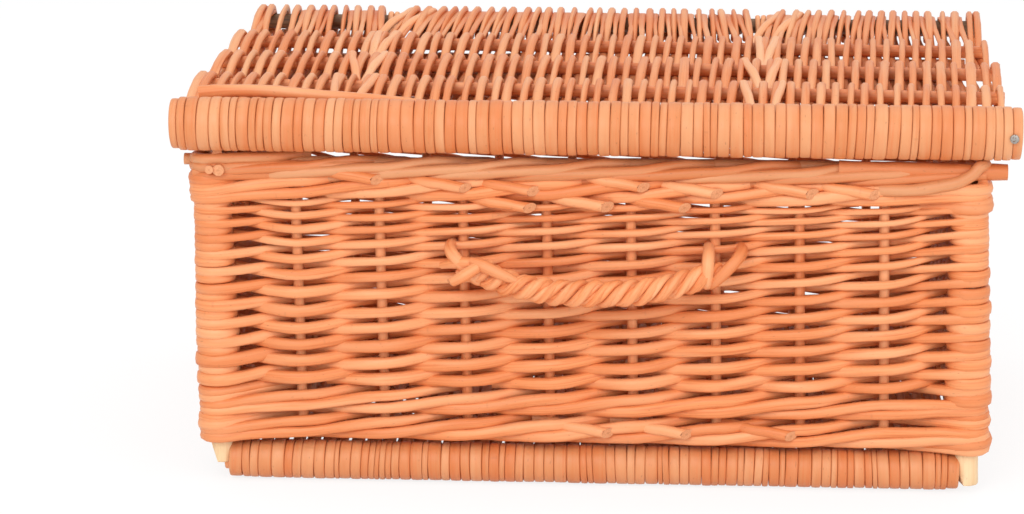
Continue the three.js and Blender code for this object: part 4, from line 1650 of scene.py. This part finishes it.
class BASKET_OT_stage(bpy.types.Operator):
    """White floor, soft light and camera"""

    bl_idname = "basket.stage"
    bl_label = "Stage"

    def execute(self, context):
        stage = context.scene.basket_stage
        bpy.ops.object.select_all(action="DESELECT")
        bpy.ops.mesh.primitive_plane_add(size=FLOOR_SIZE, location=FLOOR_PLACE)
        floor = context.active_object
        floor.name = "floor"
        floor.data.materials.append(floor_material())
        bpy.ops.object.transform_apply(location=True, rotation=True, scale=True)
        for name, place, size, share in LIGHTS:
            bpy.ops.object.light_add(type="AREA", location=place)
            lamp = context.active_object
            lamp.name = name
            lamp.data.size = size
            lamp.data.energy = stage.key * share
            aim = LIGHT_AIM - lamp.location
            lamp.rotation_euler = aim.to_track_quat("-Z", "Y").to_euler()
        light_world(context.scene, stage.sky)
        bpy.ops.object.camera_add(location=stage.camera_place, rotation=stage.camera_turn)
        camera = context.active_object
        camera.name = "camera"
        camera.data.sensor_fit = "HORIZONTAL"
        camera.data.sensor_width = SENSOR
        camera.data.lens = stage.lens
        camera.data.clip_end = SIGHT
        context.scene.camera = camera
        context.scene.view_settings.view_transform = "Standard"
        return {"FINISHED"}


def floor_material():
    """White floor that keeps a soft shadow and looks white to the camera."""
    material, tree, shader = new_material("White floor")
    place = tree.nodes.new("ShaderNodeTexCoord")
    cloud = noise_node(tree, place.outputs["Object"], 3.0, 2.0)
    white = mix_node(tree, cloud, (0.86, 0.86, 0.86, 1), (0.9, 0.9, 0.9, 1))
    tree.links.new(white, shader.inputs["Base Color"])
    shader.inputs["Roughness"].default_value = 0.9
    glow = tree.nodes.new("ShaderNodeEmission")
    glow.inputs["Strength"].default_value = FLOOR_GLOW
    mix = tree.nodes.new("ShaderNodeMixShader")
    path = tree.nodes.new("ShaderNodeLightPath")
    seen = math_node(tree, "MAXIMUM", path.outputs["Is Camera Ray"], path.outputs["Is Glossy Ray"])
    seen = math_node(tree, "MAXIMUM", seen, path.outputs["Is Transmission Ray"])
    tree.links.new(math_node(tree, "MULTIPLY", seen, GLOW_SHARE), mix.inputs[0])
    tree.links.new(shader.outputs[0], mix.inputs[1])
    tree.links.new(glow.outputs[0], mix.inputs[2])
    tree.links.new(mix.outputs[0], tree.nodes["Material Output"].inputs["Surface"])
    return material


def light_world(scene, strength):
    """Even white light from all sides, white to the camera."""
    world = bpy.data.worlds.new("Soft white")
    world.use_nodes = True
    tree = world.node_tree
    light = tree.nodes["Background"]
    light.inputs["Color"].default_value = (1, 1, 1, 1)
    light.inputs["Strength"].default_value = strength
    seen_white = tree.nodes.new("ShaderNodeBackground")
    seen_white.inputs["Color"].default_value = (1, 1, 1, 1)
    seen_white.inputs["Strength"].default_value = 1.0
    mix = tree.nodes.new("ShaderNodeMixShader")
    path = tree.nodes.new("ShaderNodeLightPath")
    tree.links.new(path.outputs["Is Camera Ray"], mix.inputs[0])
    tree.links.new(light.outputs[0], mix.inputs[1])
    tree.links.new(seen_white.outputs[0], mix.inputs[2])
    tree.links.new(mix.outputs[0], tree.nodes["World Output"].inputs["Surface"])
    scene.world = world


OPERATORS = (BASKET_OT_posts, BASKET_OT_stakes, BASKET_OT_walls, BASKET_OT_wales, BASKET_OT_borders,
             BASKET_OT_base, BASKET_OT_lid, BASKET_OT_nail, BASKET_OT_hinges, BASKET_OT_handle,
             BASKET_OT_ties, BASKET_OT_stage)


class BASKET_PT_panel(bpy.types.Panel):
    """Sizes, colours and steps of the basket"""

    bl_idname = "BASKET_PT_panel"
    bl_label = "Willow basket"
    bl_space_type = "VIEW_3D"
    bl_region_type = "UI"
    bl_category = "Basket"

    def draw(self, context):
        scene = context.scene
        for settings in (scene.basket_sizes, scene.basket_colours, scene.basket_stage):
            box = self.layout.box()
            for label in settings.__annotations__:
                box.prop(settings, label)
        for operator in OPERATORS:
            self.layout.operator(operator.bl_idname)


CLASSES = (WillowSizes, WillowColours, StageSettings, *OPERATORS, BASKET_PT_panel)


def register():
    """Register the classes and put the settings on the scene."""
    for item in CLASSES:
        bpy.utils.register_class(item)
    bpy.types.Scene.basket_sizes = bpy.props.PointerProperty(type=WillowSizes)
    bpy.types.Scene.basket_colours = bpy.props.PointerProperty(type=WillowColours)
    bpy.types.Scene.basket_stage = bpy.props.PointerProperty(type=StageSettings)


def unregister():
    """Take away what register made."""
    del bpy.types.Scene.basket_sizes
    del bpy.types.Scene.basket_colours
    del bpy.types.Scene.basket_stage
    for item in reversed(CLASSES):
        bpy.utils.unregister_class(item)


def main():
    """Build the basket and its stage."""
    register()
    for operator in OPERATORS:
        area, name = operator.bl_idname.split(".")
        getattr(getattr(bpy.ops, area), name)()


if __name__ == "__main__":
    main()
